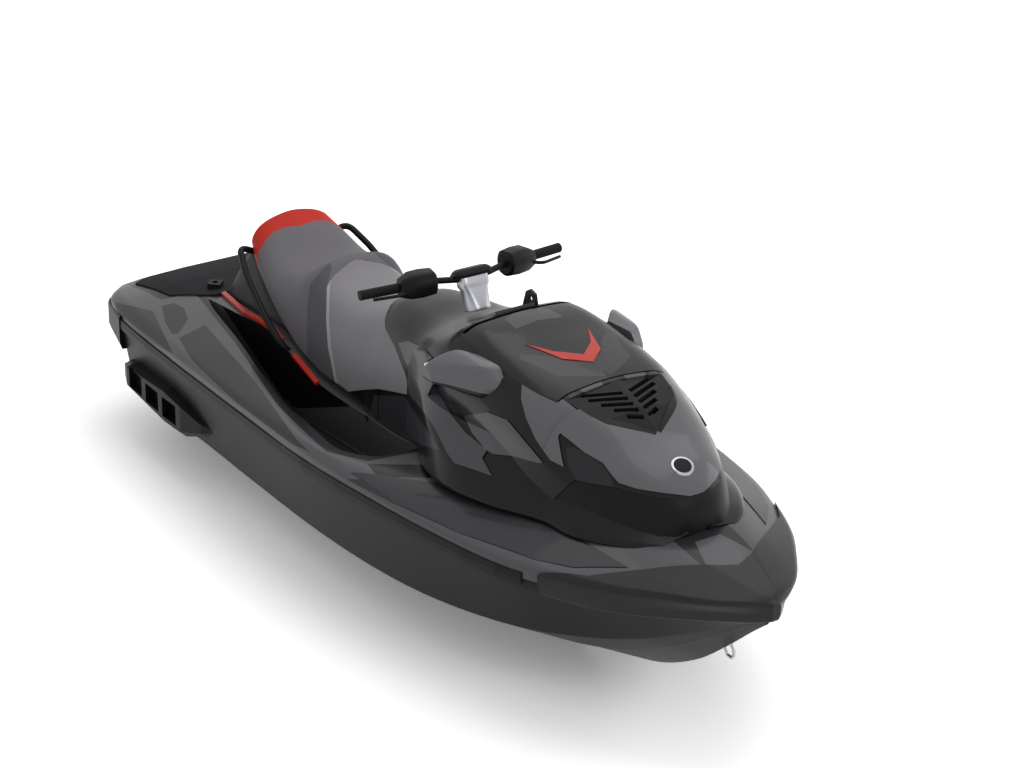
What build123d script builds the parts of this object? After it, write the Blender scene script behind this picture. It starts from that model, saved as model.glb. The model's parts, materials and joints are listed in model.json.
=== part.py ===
"""Personal watercraft: a decked, jet-driven hull with a stepped saddle, a tilting front cover and a jet pump.

Millimetres, +X to the bow, +Y to port, +Z up. The origin is on the centre line, amidships, at the waterline.
Places along the craft are stations from the aft edge of the platform, and heights are above the keel line.
Breadths are half breadths, because the craft is the same on both sides apart from the hand levers and the catch.
"""
import math
import os

from build123d import *

# Whole craft
ORIGIN_STATION = 1725
DRAFT = 300
FIT_GAP = 0.4
RUN_GAP = 6
PIN_GAP = 0.3

# Joint between hull and deck
RAIL_DEPTH = 8
RAIL_BELOW = 16
RAIL_ABOVE = 22
RAIL_FRONT = 2860
SECTIONS_PER_BAY = 2

# Engine bay, tunnel and intake
TRANSOM = 230
TUNNEL_END = 560
TUNNEL_RADIUS = 118
PUMP_HEIGHT = 135
INTAKE_FRONT = 1010
BAY_REAR = 1080
BAY_FRONT = 1960
BAY_HALF_WIDTH = 200
BAY_FLOOR = 100
BAY_TOP = 430
ENGINE_REAR = BAY_REAR + 100
ENGINE_LENGTH = 500
ENGINE_WIDTH = 330
ENGINE_HEIGHT = 290

# Pump
BORE_RADIUS = 80
PUMP_WALL = 9
PUMP_REAR = 290
PUMP_FLANGE_RADIUS = 110
PUMP_FLANGE_THICKNESS = 12
STATOR_REAR = 296
STATOR_LENGTH = 60
STATOR_VANES = 7
STATOR_THICKNESS = 4
HUB_RADIUS = 34
SHAFT_RADIUS = 14
IMPELLER_REAR = 364
IMPELLER_LENGTH = 78
IMPELLER_BLADES = 4
BLADE_THICKNESS = 4
BLADE_TWIST = 46
TIP_GAP = 0.5

# Nozzle and gate
PIVOT = 150
VENTURI_END = 140
VENTURI_RADIUS = 40
VENTURI_WALL = 7
NOZZLE_FRONT_RADIUS = 62
NOZZLE_END_RADIUS = 43
NOZZLE_WALL = 6
NOZZLE_AHEAD = 15
NOZZLE_LENGTH = 105
RING_RADIUS = 76
RING_WALL = 10
RING_LENGTH = 32
PIN_RADIUS = 7
LUG_INNER = 92
LUG_THICKNESS = 10
LUG_RADIUS = 19
ARM_INNER = 108
ARM_THICKNESS = 6
GATE_RADIUS = 124
GATE_WALL = 6
GATE_TOP_ANGLE = 90
GATE_LOW_ANGLE = 30

# Steering
STEM_STATION = 1830
STEM_HEIGHT = 925
STEM_LEAN = 19
STEM_SEAT = 9
BOSS_RADIUS = 30
SPIGOT_RADIUS = 20
SPIGOT_DEPTH = 40
STEM_LENGTH = 122
BAR_RADIUS = 11
GRIP_RADIUS = 17
GRIP_LENGTH = 128
GRIP_END = 392
HOUSING_LENGTH = 110
GRIP_SWEEP = 66

# Front storage
COVER_REAR = 2088
COVER_FRONT = 2585
COVER_SPLIT_REAR = 985
COVER_SPLIT_FRONT = 935
COVER_WALL = 14
CONSOLE_FRONT = 2070
BIN_REAR = 2135
BIN_FRONT = 2455
BIN_HALF_WIDTH = 165
BIN_FLOOR = 690
BIN_WALL = 5
HINGE_RADIUS = 6

# Platform fittings, with a round socket for a luggage clamp
FITTING_PLACES = ((380 - ORIGIN_STATION, 205), (380 - ORIGIN_STATION, -205))
FITTING_RADIUS = 34
FITTING_TOP = 582
SOCKET_RADIUS = 11
SOCKET_DEPTH = 14

# Foot wells
TRIM_REAR = 460
TRIM_FRONT = 1210
WELL_TOP = 640
WELL_FLOOR = 318
WELL_SKIN = 8
MAT_THICKNESS = 5
PLATFORM_MAT_THICKNESS = 6

# Hull lines, station: keel height, chine half breadth, chine height
HULL_LINES = {
    230: (0, 478, 170),
    700: (0, 503, 175),
    900: (0, 512, 179),
    1200: (0, 528, 185),
    1700: (0, 545, 195),
    2100: (0, 535, 210),
    2400: (6, 500, 230),
    2700: (40, 430, 262),
    2900: (95, 350, 295),
    3080: (190, 240, 335),
    3220: (300, 140, 390),
    3340: (405, 66, 450),
    3410: (462, 22, 482),
}

# Deck lines, station: five (half breadth, height) points from the joint to the centre line
DECK_LINES = {
    0: ((418, 428), (420, 466), (400, 482), (300, 492), (150, 496)),
    60: ((478, 429), (480, 470), (452, 490), (300, 508), (150, 514)),
    230: ((521, 430), (522, 474), (486, 502), (300, 538), (180, 546)),
    700: ((558, 440), (560, 490), (540, 512), (370, 550), (262, 578)),
    900: ((570, 446), (572, 496), (554, 516), (430, 549), (262, 584)),
    1200: ((588, 455), (590, 505), (574, 524), (490, 548), (262, 486)),
    1700: ((613, 472), (615, 522), (602, 538), (588, 550), (262, 484)),
    2100: ((592, 480), (594, 521), (582, 535), (522, 556), (300, 570)),
    2400: ((560, 482), (561, 521), (549, 533), (470, 562), (290, 600)),
    2700: ((508, 485), (508, 523), (496, 535), (404, 572), (250, 622)),
    2900: ((436, 489), (437, 527), (425, 539), (340, 578), (210, 634)),
    3080: ((346, 494), (352, 533), (340, 543), (250, 580), (140, 628)),
    3220: ((232, 502), (256, 541), (246, 550), (172, 578), (86, 604)),
    3340: ((120, 512), (160, 546), (151, 553), (104, 566), (50, 580)),
    3410: ((52, 520), (78, 549), (72, 554), (48, 560), (24, 564)),
    3445: ((12, 527), (13, 541), (12, 544), (8, 546), (4, 547)),
}

# Foot well outlines in plan, station and half breadth, at the well top and on the well floor
WELL_MOUTH = ((338, 276), (1000, 270), (1500, 240), (1940, 282), (1936, 500), (1800, 578), (1380, 520), (1052, 436))
WELL_BASE = ((690, 262), (1000, 262), (1500, 230), (1860, 262), (1852, 396), (1760, 426), (1380, 424), (1000, 366))

# Upper body lines, station: five (half breadth, height) points from the foot to the crown
BODY_LINES = {
    1440: ((216, 470), (204, 626), (150, 784), (98, 856), (0, 870)),
    1500: ((228, 470), (217, 650), (170, 816), (112, 876), (0, 889)),
    1600: ((236, 470), (226, 686), (184, 844), (120, 888), (0, 900)),
    1800: ((256, 470), (248, 744), (216, 868), (140, 906), (0, 914)),
    1960: ((296, 470), (290, 792), (262, 917), (180, 957), (0, 966)),
    2070: ((306, 470), (302, 815), (276, 940), (200, 1008), (0, 1022)),
    2300: ((322, 520), (318, 835), (280, 938), (210, 992), (0, 1010)),
    2500: ((326, 540), (318, 825), (270, 915), (200, 968), (0, 988)),
    2600: ((324, 550), (310, 808), (254, 892), (186, 950), (0, 972)),
    2741: ((302, 560), (284, 765), (222, 850), (154, 912), (0, 934)),
    2860: ((262, 570), (240, 735), (190, 806), (130, 846), (0, 864)),
    2975: ((204, 585), (176, 712), (144, 770), (98, 798), (0, 811)),
    3038: ((146, 596), (122, 690), (96, 732), (64, 750), (0, 757)),
    3064: ((100, 606), (80, 662), (58, 698), (36, 712), (0, 718)),
}

# Saddle lines, station: five (half breadth, height) points from the skirt edge to the crown
SADDLE_LINES = {
    598: ((170, 796), (163, 830), (136, 860), (88, 882), (0, 898)),
    680: ((198, 744), (191, 784), (160, 818), (106, 838), (0, 851)),
    780: ((219, 696), (212, 742), (176, 776), (114, 791), (0, 794)),
    867: ((231, 648), (225, 722), (188, 774), (128, 788), (0, 784)),
    950: ((234, 600), (226, 712), (186, 782), (126, 806), (0, 812)),
    1016: ((234, 562), (223, 712), (184, 802), (124, 848), (0, 864)),
    1080: ((232, 540), (217, 690), (174, 776), (116, 808), (0, 818)),
    1174: ((228, 512), (208, 650), (164, 748), (108, 780), (0, 790)),
    1320: ((225, 505), (202, 640), (154, 748), (100, 786), (0, 800)),
    1440: ((222, 490), (206, 632), (148, 772), (92, 826), (0, 839)),
    1530: ((234, 480), (223, 660), (174, 808), (108, 856), (0, 868)),
    1640: ((243, 480), (233, 692), (190, 834), (124, 880), (0, 892)),
    1810: ((259, 480), (252, 742), (220, 866), (140, 904), (0, 912)),
}

# Side outlines, station and height, of the parting lines between the two seats and between saddle and console
SEAT_PARTING = ((1018, 960), (1024, 867), (1050, 838), (1108, 760), (1160, 690), (1216, 581), (1276, 470))
CONSOLE_PARTING = ((1462, 930), (1458, 846), (1528, 806), (1636, 778), (1751, 732), (1800, 690), (1784, 668), (1560, 600), (1300, 486), (1290, 440))

# Pedestal lines, station: three (half breadth, height) points from the foot to the crown
PEDESTAL_LINES = {
    470: ((222, 470), (200, 590), (130, 592)),
    540: ((236, 470), (186, 700), (112, 716)),
    600: ((242, 470), (168, 782), (104, 800)),
    760: ((248, 470), (202, 690), (134, 706)),
    867: ((250, 470), (208, 636), (136, 670)),
    1012: ((226, 470), (196, 600), (130, 690)),
    1200: ((206, 470), (176, 600), (110, 668)),
    1440: ((200, 470), (172, 600), (104, 690)),
}


def at_station(station):
    """X of a station measured forward from the aft edge of the platform."""
    return station - ORIGIN_STATION


def above_keel(height):
    """Z of a height measured up from the keel line."""
    return height - DRAFT


def smooth_value(rows, index, share):
    """A value on the curve through four neighbouring stations, at a share of the middle bay."""
    before, start, end, after = (rows[min(max(index + k, 0), len(rows) - 1)] for k in (-1, 0, 1, 2))
    slope_start = (end[1] - before[1]) / (end[0] - before[0]) if end[0] > before[0] else 0
    slope_end = (after[1] - start[1]) / (after[0] - start[0]) if after[0] > start[0] else 0
    bay = end[0] - start[0]
    rise, fall = 2 * share**3 - 3 * share**2 + 1, 3 * share**2 - 2 * share**3
    turn, settle = share**3 - 2 * share**2 + share, share**3 - share**2
    return rise * start[1] + fall * end[1] + bay * (turn * slope_start + settle * slope_end)


def faired(table, bays=SECTIONS_PER_BAY):
    """The table of lines with more stations between its own, on smooth curves through them."""
    stations = sorted(table)
    flat = {s: [v for point in table[s] for v in (point if isinstance(point, tuple) else (point,))] for s in stations}
    fine = {}
    for index, station in enumerate(stations[:-1]):
        bay = stations[index + 1] - station
        for step in range(bays):
            share = step / bays
            columns = range(len(flat[station]))
            fine[station + share * bay] = [
                smooth_value([(s, flat[s][column]) for s in stations], index, share) for column in columns
            ]
    fine[stations[-1]] = flat[stations[-1]]
    return fine


def whole_section(half):
    """A closed section in Y and Z from its port half, given from the bottom centre to the top centre."""
    port = [(y, above_keel(h)) for y, h in half]
    starboard = [(-y, z) for y, z in reversed(port) if y > 0]
    return port + starboard


def lofted(sections):
    """A solid through closed sections in Y and Z, given by station."""
    with BuildPart() as body:
        for station, outline in sections.items():
            with BuildSketch(Plane.YZ.offset(at_station(station))):
                with BuildLine():
                    Polyline(*outline, close=True)
                make_face()
        loft(ruled=True)
    return body.part


def lofted_across(sections):
    """A solid through closed sections of stations and heights, given by breadth."""
    with BuildPart() as body:
        for breadth, outline in sections.items():
            with BuildSketch(Plane.XZ.offset(-breadth)):
                with BuildLine():
                    Polyline(*[(at_station(s), above_keel(h)) for s, h in outline], close=True)
                make_face()
        loft(ruled=True)
    return body.part


def lofted_whole(table):
    """A solid on both sides of the centre line, from faired rows of points given from foot to crown."""
    sections = {}
    for station, row in faired(table).items():
        half = list(zip(row[0::2], row[1::2]))
        crown = [] if half[-1][0] == 0 else [(0, half[-1][1])]
        sections[station] = whole_section([(0, half[0][1])] + half + crown)
    return lofted(sections)


def plan_prism(outline, low, high):
    """A straight prism on a plan outline of stations and breadths, between two heights."""
    with BuildPart() as body:
        with BuildSketch(Plane.XY.offset(above_keel(low))):
            with BuildLine():
                Polyline(*[(at_station(s), y) for s, y in outline], close=True)
            make_face()
        extrude(amount=high - low)
    return body.part


def side_prism(outline, right, left):
    """A straight prism on a side outline of stations and heights, between two breadths."""
    with BuildPart() as body:
        with BuildSketch(Plane.XZ.offset(-left)):
            with BuildLine():
                Polyline(*[(at_station(s), above_keel(h)) for s, h in outline], close=True)
            make_face()
        extrude(amount=left - right)
    return body.part


def joined(*bodies):
    """All the bodies as one."""
    with BuildPart() as union:
        for body in bodies:
            add(body)
    return union.part


def minus(body, *others):
    """The body with every other solid taken out of it."""
    with BuildPart() as cut:
        add(body)
        for other in others:
            add(other, mode=Mode.SUBTRACT)
    return cut.part


def common(body, other):
    """What two bodies share."""
    with BuildPart() as shared:
        add(body)
        add(other, mode=Mode.INTERSECT)
    return shared.part


def both_sides(body):
    """The port body and its mirror image."""
    with BuildPart() as pair:
        add(body)
        mirror(about=Plane.XZ)
    return pair.part


def box(rear, front, right, left, low, high):
    """A block between two stations, two breadths and two heights."""
    return plan_prism(((rear, right), (front, right), (front, left), (rear, left)), low, high)


def rod(start, end, radius):
    """A round rod between two points of station, breadth and height."""
    first = Vector(at_station(start[0]), start[1], above_keel(start[2]))
    last = Vector(at_station(end[0]), end[1], above_keel(end[2]))
    with BuildPart() as body:
        with BuildSketch(Plane(origin=first, z_dir=last - first)):
            Circle(radius)
        extrude(amount=(last - first).length)
    return body.part


def cut_corners(points, cuts):
    """The points of a bent line, with each inner corner cut off at its own distance along both runs."""
    bent = [points[0]]
    for before, corner, after, cut in zip(points, points[1:], points[2:], cuts):
        for other in (before, after):
            bent.append(tuple(Vector(*corner) + (Vector(*other) - Vector(*corner)).normalized() * cut))
    return bent + [points[-1]]


def bar_along(points, cuts, radius):
    """A round bar along straight runs with its corners cut off, through points of station, breadth and height."""
    path_points = [(at_station(s), y, above_keel(h)) for s, y, h in cut_corners(points, cuts)]
    with BuildPart() as body:
        with BuildLine() as path:
            Polyline(*path_points)
        with BuildSketch(Plane(origin=path.line @ 0, z_dir=path.line % 0)):
            Circle(radius)
        sweep(path=path.line, transition=Transition.RIGHT)
    return body.part


def well_solid(skin):
    """The port foot well as a solid, from its floor to above the deck, grown outwards by a skin."""
    with BuildPart() as well:
        for outline, height in ((WELL_BASE, WELL_FLOOR - skin), (WELL_MOUTH, WELL_TOP)):
            with BuildSketch(Plane.XY.offset(above_keel(height))):
                with BuildLine():
                    Polyline(*[(at_station(s), y) for s, y in outline], close=True)
                make_face()
                if skin:
                    offset(amount=skin, kind=Kind.INTERSECTION)
        loft(ruled=True)
    return well.part


def hull_sections():
    """Closed hull sections by station, with a lifting strake step between the keel and the chine."""
    joint = faired(DECK_LINES)
    sections = {}
    for station, (keel, chine_y, chine_h) in faired(HULL_LINES).items():
        joint_y, joint_h = joint[station][0:2]
        strake_y = 0.56 * chine_y
        strake_h = keel + 0.56 * (chine_h - keel)
        half = [(0, keel), (strake_y, strake_h), (strake_y * 1.04, strake_h), (chine_y, chine_h)]
        half += [(joint_y - RAIL_DEPTH / 2, joint_h - 2 * RAIL_BELOW), (joint_y, joint_h), (0, joint_h)]
        sections[station] = whole_section(half)
    return sections


def joint_line(rear, front):
    """Stations with the half breadth and height of the joint between hull and deck."""
    return {s: row[0:2] for s, row in faired(DECK_LINES).items() if rear <= s <= front}


def shifted(table, out, up):
    """The table of lines moved outwards and upwards."""
    return {s: tuple((y + out if y else 0, h + up) for y, h in row) for s, row in table.items()}


def save(part, name):
    """Label a finished piece and write it."""
    part.label = name
    export_step(part, f"parts/{name}.step")


os.makedirs("parts", exist_ok=True)

# Bodies that several pieces are cut from or seat on
hull_body = lofted(hull_sections())
deck_body = lofted_whole(DECK_LINES)
upper_body = lofted_whole(BODY_LINES)
pedestal_body = lofted_whole(PEDESTAL_LINES)
well = well_solid(0)
well_skin = well_solid(WELL_SKIN)
wells = both_sides(well)
tubs = common(both_sides(well_skin), hull_body)

# Deck, with the foot wells and their skins
with BuildPart() as deck:
    add(deck_body)
    add(tubs)
    add(wells, mode=Mode.SUBTRACT)
save(deck.part, "deck")

# Hull, with the pump tunnel, the water intake, the engine bay and the shaft's way through
with BuildPart() as hull:
    add(hull_body)
    add(tubs, mode=Mode.SUBTRACT)
    with BuildSketch(Plane.YZ.offset(at_station(TRANSOM))):
        with Locations((0, above_keel(PUMP_HEIGHT))):
            Circle(TUNNEL_RADIUS)
        with Locations((0, above_keel(PUMP_HEIGHT) - TUNNEL_RADIUS)):
            Rectangle(2 * TUNNEL_RADIUS, 2 * TUNNEL_RADIUS)
    extrude(amount=TUNNEL_END - TRANSOM, mode=Mode.SUBTRACT)
    with BuildSketch(Plane.XZ.offset(-BORE_RADIUS)):
        with BuildLine():
            Polyline(
                *[
                    (at_station(s), above_keel(h))
                    for s, h in (
                        (TUNNEL_END, -1),
                        (TUNNEL_END, PUMP_HEIGHT + BORE_RADIUS),
                        (TUNNEL_END + 90, PUMP_HEIGHT + BORE_RADIUS - 12),
                        (INTAKE_FRONT, -1),
                    )
                ],
                close=True,
            )
        make_face()
    extrude(amount=2 * BORE_RADIUS, mode=Mode.SUBTRACT)
    with BuildSketch(Plane.XY.offset(above_keel(BAY_FLOOR))):
        with Locations((at_station((BAY_REAR + BAY_FRONT) / 2), 0)):
            Rectangle(BAY_FRONT - BAY_REAR, 2 * BAY_HALF_WIDTH)
    extrude(amount=BAY_TOP - BAY_FLOOR, mode=Mode.SUBTRACT)
    with BuildSketch(Plane.YZ.offset(at_station(TUNNEL_END))):
        with Locations((0, above_keel(PUMP_HEIGHT))):
            Circle(SHAFT_RADIUS + RUN_GAP)
    extrude(amount=BAY_REAR - TUNNEL_END, mode=Mode.SUBTRACT)
save(hull.part, "hull")

# Engine, as one plain block on the floor of its bay
with BuildPart() as engine_block:
    with BuildSketch(Plane.XY.offset(above_keel(BAY_FLOOR))):
        with Locations((at_station(ENGINE_REAR + ENGINE_LENGTH / 2), 0)):
            Rectangle(ENGINE_LENGTH, ENGINE_WIDTH)
    extrude(amount=ENGINE_HEIGHT)
save(engine_block.part, "engine_block")

# Rubbing rail over the joint line, its back cut to the hull and the deck
rail_sections = {
    station: [
        (y - 14, above_keel(h - RAIL_BELOW)),
        (y + RAIL_DEPTH - 2, above_keel(h - RAIL_BELOW)),
        (y + RAIL_DEPTH, above_keel(h)),
        (y + RAIL_DEPTH - 2, above_keel(h + RAIL_ABOVE)),
        (y - 14, above_keel(h + RAIL_ABOVE)),
    ]
    for station, (y, h) in joint_line(TRANSOM, RAIL_FRONT).items()
}
save(both_sides(minus(lofted(rail_sections), hull_body, deck_body)), "rub_rail")

# Stern corner bumpers, with the skirts below the platform
corner_sections = {
    station: [
        (y - 45, above_keel(low)),
        (y + 2, above_keel(low + 4)),
        (y + 11, above_keel(low + 30)),
        (y + 11, above_keel(h + 24)),
        (y + 6, above_keel(h + 36)),
        (y - 14, above_keel(h + 36)),
        (y - 45, above_keel(h + 8)),
    ]
    for station, y, h, low in ((0, 418, 428, 366), (60, 478, 429, 342), (TRANSOM, 521, 430, 328))
}
save(both_sides(minus(lofted(corner_sections), deck_body, hull_body)), "stern_corners")

# Bow guard, a skin over the joint, the deck edge and the nose
guard_sections = {}
for station, row in faired(DECK_LINES).items():
    if station >= 2840:
        half = list(zip(row[0::2], row[1::2]))
        outline = [(0, half[0][1] - 36), (half[0][0] + 4, half[0][1] - 36), (half[0][0] + 9, half[0][1])]
        outline += [(half[1][0] + 9, half[1][1]), (half[2][0] + 6, half[2][1] + 7)]
        outline += [(half[3][0], half[3][1] + 7), (half[4][0], half[4][1] + 7), (0, half[4][1] + 7)]
        guard_sections[station] = whole_section(outline)
guard_nose = [(0, 500), (12, 500), (16, 531), (15, 545), (11, 550), (6, 551), (3, 552), (0, 552)]
guard_sections[3452] = whole_section(guard_nose)
guard_outline = [(2846, 600), (2866, 456), (2996, 373), (3107, 236), (3234, 71), (3262, 0)]
guard_outline += [(s, -y) for s, y in reversed(guard_outline[:-1])] + [(3600, -600), (3600, 600)]
guard = common(lofted(guard_sections), plan_prism(guard_outline, 380, 700))
save(minus(guard, hull_body, deck_body), "bow_cap")

# Sponsons low on the hull sides, each with a row of pockets
sponson_sections = {
    265: ((470, 228), (520, 228), (534, 244), (534, 290), (480, 304)),
    330: ((470, 212), (540, 212), (560, 234), (560, 306), (480, 320)),
    640: ((480, 184), (548, 184), (572, 208), (572, 326), (490, 342)),
    760: ((486, 188), (548, 188), (572, 212), (572, 312), (494, 328)),
    880: ((494, 228), (532, 230), (552, 246), (550, 278), (500, 294)),
    945: ((500, 262), (520, 263), (528, 268), (526, 276), (502, 282)),
}
sponson_port = lofted({s: [(y, above_keel(h)) for y, h in row] for s, row in sponson_sections.items()})
pockets = [box(rear, rear + 104, 532, 600, low, low + 76) for rear, low in ((352, 234), (488, 226), (624, 224))]
save(both_sides(minus(sponson_port, hull_body, *pockets)), "sponsons")

# Towing and lifting eyes and the tow hook
stem_along, stem_out = Vector(0.753, 0, 0.658), Vector(0.658, 0, -0.753)
eye_points = []
for along, out in ((-20, -16), (-20, 36), (20, 36), (20, -16)):
    eye_points.append((3226 + along * stem_along.X + out * stem_out.X, 0, 306 + along * stem_along.Z + out * stem_out.Z))
save(minus(bar_along(eye_points, (12, 12), 5), hull_body), "bow_eye")
stern_eye = bar_along([(250, 400, 258), (192, 400, 258), (192, 400, 310), (250, 400, 310)], (12, 12), 5)
save(both_sides(minus(stern_eye, hull_body)), "stern_eyes")
hook = bar_along([(250, 0, 330), (180, 0, 330), (180, 0, 404), (250, 0, 404)], (16, 16), 7)
save(minus(hook, hull_body), "tow_hook")

# Pedestal under the saddle
save(minus(pedestal_body, deck_body), "seat_pedestal")
pedestal_room = lofted_whole(shifted(PEDESTAL_LINES, FIT_GAP, FIT_GAP))
saddle_body = minus(lofted_whole(SADDLE_LINES), pedestal_room, deck_body, hull_body)
behind_parting = side_prism(SEAT_PARTING + ((500, 440), (500, 960)), -400, 400)
before_console = side_prism(CONSOLE_PARTING + ((900, 440), (900, 920)), -400, 400)
save(common(saddle_body, behind_parting), "passenger_seat")
save(common(minus(saddle_body, behind_parting), before_console), "driver_seat")

# Grab handles along the passenger's seat
handle = bar_along(
    [(604, 150, 764), (608, 226, 800), (720, 262, 736), (880, 280, 636), (1000, 276, 560), (1005, 205, 500)],
    (20, 40, 40, 24),
    12,
)
save(both_sides(minus(handle, pedestal_body, deck_body)), "grab_handles")

# Mats on the platform and in the foot wells, and the cargo fittings on the platform
raised_deck = lofted_whole(shifted(DECK_LINES, 0, PLATFORM_MAT_THICKNESS))
mat_outline = [(36, 330), (60, 372), (300, 356), (455, 240), (455, -240), (300, -356), (60, -372), (36, -330)]
save(minus(common(raised_deck, plan_prism(mat_outline, 470, 640)), deck_body), "rear_mat")
with BuildPart() as footwell_mats:
    with BuildSketch(Plane.XY.offset(above_keel(WELL_FLOOR))):
        with BuildLine():
            Polyline(*[(at_station(s), y) for s, y in WELL_BASE], close=True)
        make_face()
        offset(amount=-2 * WELL_SKIN, kind=Kind.INTERSECTION)
    extrude(amount=MAT_THICKNESS)
    mirror(about=Plane.XZ)
save(footwell_mats.part, "footwell_mats")
with BuildPart() as fittings:
    with BuildSketch(Plane.XY.offset(above_keel(490))):
        with Locations(*FITTING_PLACES):
            RegularPolygon(FITTING_RADIUS, 4)
    extrude(amount=FITTING_TOP - 490)
    with BuildSketch(Plane.XY.offset(above_keel(FITTING_TOP - SOCKET_DEPTH))):
        with Locations(*FITTING_PLACES):
            Circle(SOCKET_RADIUS)
    extrude(amount=SOCKET_DEPTH, mode=Mode.SUBTRACT)
save(minus(fittings.part, raised_deck), "cargo_fittings")

# Red trim along the inner edges of the foot wells
trim_sections = {
    s: [(row[8] + y, above_keel(row[9] + h)) for y, h in ((-14, -6), (4, -6), (4, 10), (-14, 12))]
    for s, row in faired(DECK_LINES).items()
    if TRIM_REAR <= s <= TRIM_FRONT
}
handle_gap = box(960, 1040, 200, 320, 440, 640)
save(both_sides(minus(lofted(trim_sections), deck_body, pedestal_body, saddle_body, handle_gap)), "well_trim")

# Console from the saddle to the cover, with the steering bearing
stem_axis = Vector(-math.sin(math.radians(STEM_LEAN)), 0, math.cos(math.radians(STEM_LEAN)))
stem_foot = Vector(at_station(STEM_STATION), 0, above_keel(STEM_HEIGHT))


def stem_plane(along):
    """The plane across the steering axis, at a distance up from its foot."""
    return Plane(origin=stem_foot + stem_axis * along, x_dir=(0, 1, 0), z_dir=stem_axis)


catch = side_prism([(1950, 930), (2052, 980), (2036, 1042), (2006, 1050), (1984, 1036)], 84, 94)
catch_hole = side_prism([(2002, 1014), (2012, 1004), (2022, 1014), (2022, 1024), (2012, 1032), (2002, 1024)], 80, 98)
knee_panels = common(lofted_whole(SADDLE_LINES), side_prism(((1290, 460), (1300, 486), (1560, 600), (1560, 460)), -400, 400))
with BuildPart() as console:
    add(common(upper_body, box(1440, CONSOLE_FRONT, -400, 400, 400, 1100)))
    add(knee_panels)
    add(before_console, mode=Mode.SUBTRACT)
    add(deck_body, mode=Mode.SUBTRACT)
    add(hull_body, mode=Mode.SUBTRACT)
    add(pedestal_room, mode=Mode.SUBTRACT)
    with BuildSketch(stem_plane(-30)):
        Circle(BOSS_RADIUS)
    extrude(amount=30 + STEM_SEAT)
    with BuildSketch(stem_plane(-SPIGOT_DEPTH)):
        Circle(SPIGOT_RADIUS + PIN_GAP)
    extrude(amount=2 * SPIGOT_DEPTH, mode=Mode.SUBTRACT)
    add(catch)
    add(catch_hole, mode=Mode.SUBTRACT)
save(console.part, "console")

# Instrument panel on the console, facing the rider
panel = side_prism([(1975, 950), (2056, 996), (2044, 1020), (1963, 974)], -78, 78)
save(minus(panel, upper_body), "display")

# Handlebar and what it carries
clamp = stem_foot + stem_axis * STEM_LENGTH
clamp_station, clamp_height = clamp.X + ORIGIN_STATION, clamp.Z + DRAFT
bar_end = (clamp_station - GRIP_SWEEP, GRIP_END, clamp_height - 4)
bar_knee = (clamp_station - 14, 140, clamp_height + 10)
bar_root = (clamp_station, 52, clamp_height)
mirrored = [(s, -y, h) for s, y, h in (bar_root, bar_knee, bar_end)]
handlebar = bar_along([bar_end, bar_knee, bar_root] + mirrored, (30, 20, 20, 30), BAR_RADIUS)
save(handlebar, "handlebar")
with BuildPart() as steering_stem:
    with BuildSketch(stem_plane(-SPIGOT_DEPTH + 2)):
        Circle(SPIGOT_RADIUS)
    extrude(amount=SPIGOT_DEPTH + STEM_SEAT + 4)
    with BuildSketch(stem_plane(STEM_SEAT + FIT_GAP)):
        RectangleRounded(84, 76, 20)
    with BuildSketch(stem_plane(STEM_LENGTH - 26)):
        RectangleRounded(112, 52, 14)
    loft()
    with BuildSketch(stem_plane(STEM_LENGTH - 26)):
        RectangleRounded(112, 52, 14)
    extrude(amount=32)
    add(handlebar, mode=Mode.SUBTRACT)
save(steering_stem.part, "steering_stem")
with BuildPart() as bar_pad:
    with BuildSketch(stem_plane(STEM_LENGTH + 6)):
        RectangleRounded(150, 74, 20)
    with BuildSketch(stem_plane(STEM_LENGTH + 32)):
        RectangleRounded(118, 52, 16)
    loft()
    add(handlebar, mode=Mode.SUBTRACT)
save(bar_pad.part, "bar_pad")

# Grips, switch housings and hand levers
bar_way = (Vector(*bar_end) - Vector(*bar_knee)).normalized()


def on_bar(back, side=1):
    """Station, breadth and height of a point on the bar's straight end, at a distance in from its tip."""
    point = Vector(*bar_end) - bar_way * back
    return (point.X, side * point.Y, point.Z)


grip = rod(on_bar(GRIP_LENGTH), on_bar(-6), GRIP_RADIUS)
save(both_sides(minus(grip, handlebar)), "grips")
with BuildPart() as housing:
    start = on_bar(GRIP_LENGTH + 4 + HOUSING_LENGTH)
    origin = (at_station(start[0]), start[1], above_keel(start[2]))
    with BuildSketch(Plane(origin=origin, z_dir=bar_way)):
        RectangleRounded(74, 78, 22)
    extrude(amount=HOUSING_LENGTH)
save(both_sides(minus(housing.part, handlebar)), "switch_housings")
for side, name in ((-1, "throttle_lever"), (1, "brake_lever")):
    reach = 60 if side > 0 else 46
    root, knuckle, tip = on_bar(GRIP_LENGTH + 40, side), on_bar(GRIP_LENGTH - 6, side), on_bar(26, side)
    path = [(root[0] + 10, root[1], root[2] - 6), (knuckle[0] + reach, knuckle[1], knuckle[2] - 8)]
    path.append((tip[0] + reach - 14, tip[1], tip[2] - 10))
    lever = bar_along(path, (24,), 6)
    save(minus(lever, both_sides(housing.part), handlebar), name)

# Front cover and its hinge
hinge_station, hinge_height = COVER_FRONT + RUN_GAP / 2, 977
cover_zone = side_prism(
    [(COVER_REAR, COVER_SPLIT_REAR), (COVER_FRONT, COVER_SPLIT_FRONT), (COVER_FRONT, 1200), (COVER_REAR, 1200)],
    -500,
    500,
)
cover_inside = common(
    lofted_whole(shifted(BODY_LINES, -COVER_WALL, -COVER_WALL)),
    box(COVER_REAR + COVER_WALL, COVER_FRONT - COVER_WALL, -500, 500, 800, 1200),
)
barrel_half, lug_width = 60, 22


def hinge_rod(right, left, radius):
    """A rod on the cover's hinge line between two breadths."""
    return rod((hinge_station, right, hinge_height), (hinge_station, left, hinge_height), radius)


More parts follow.
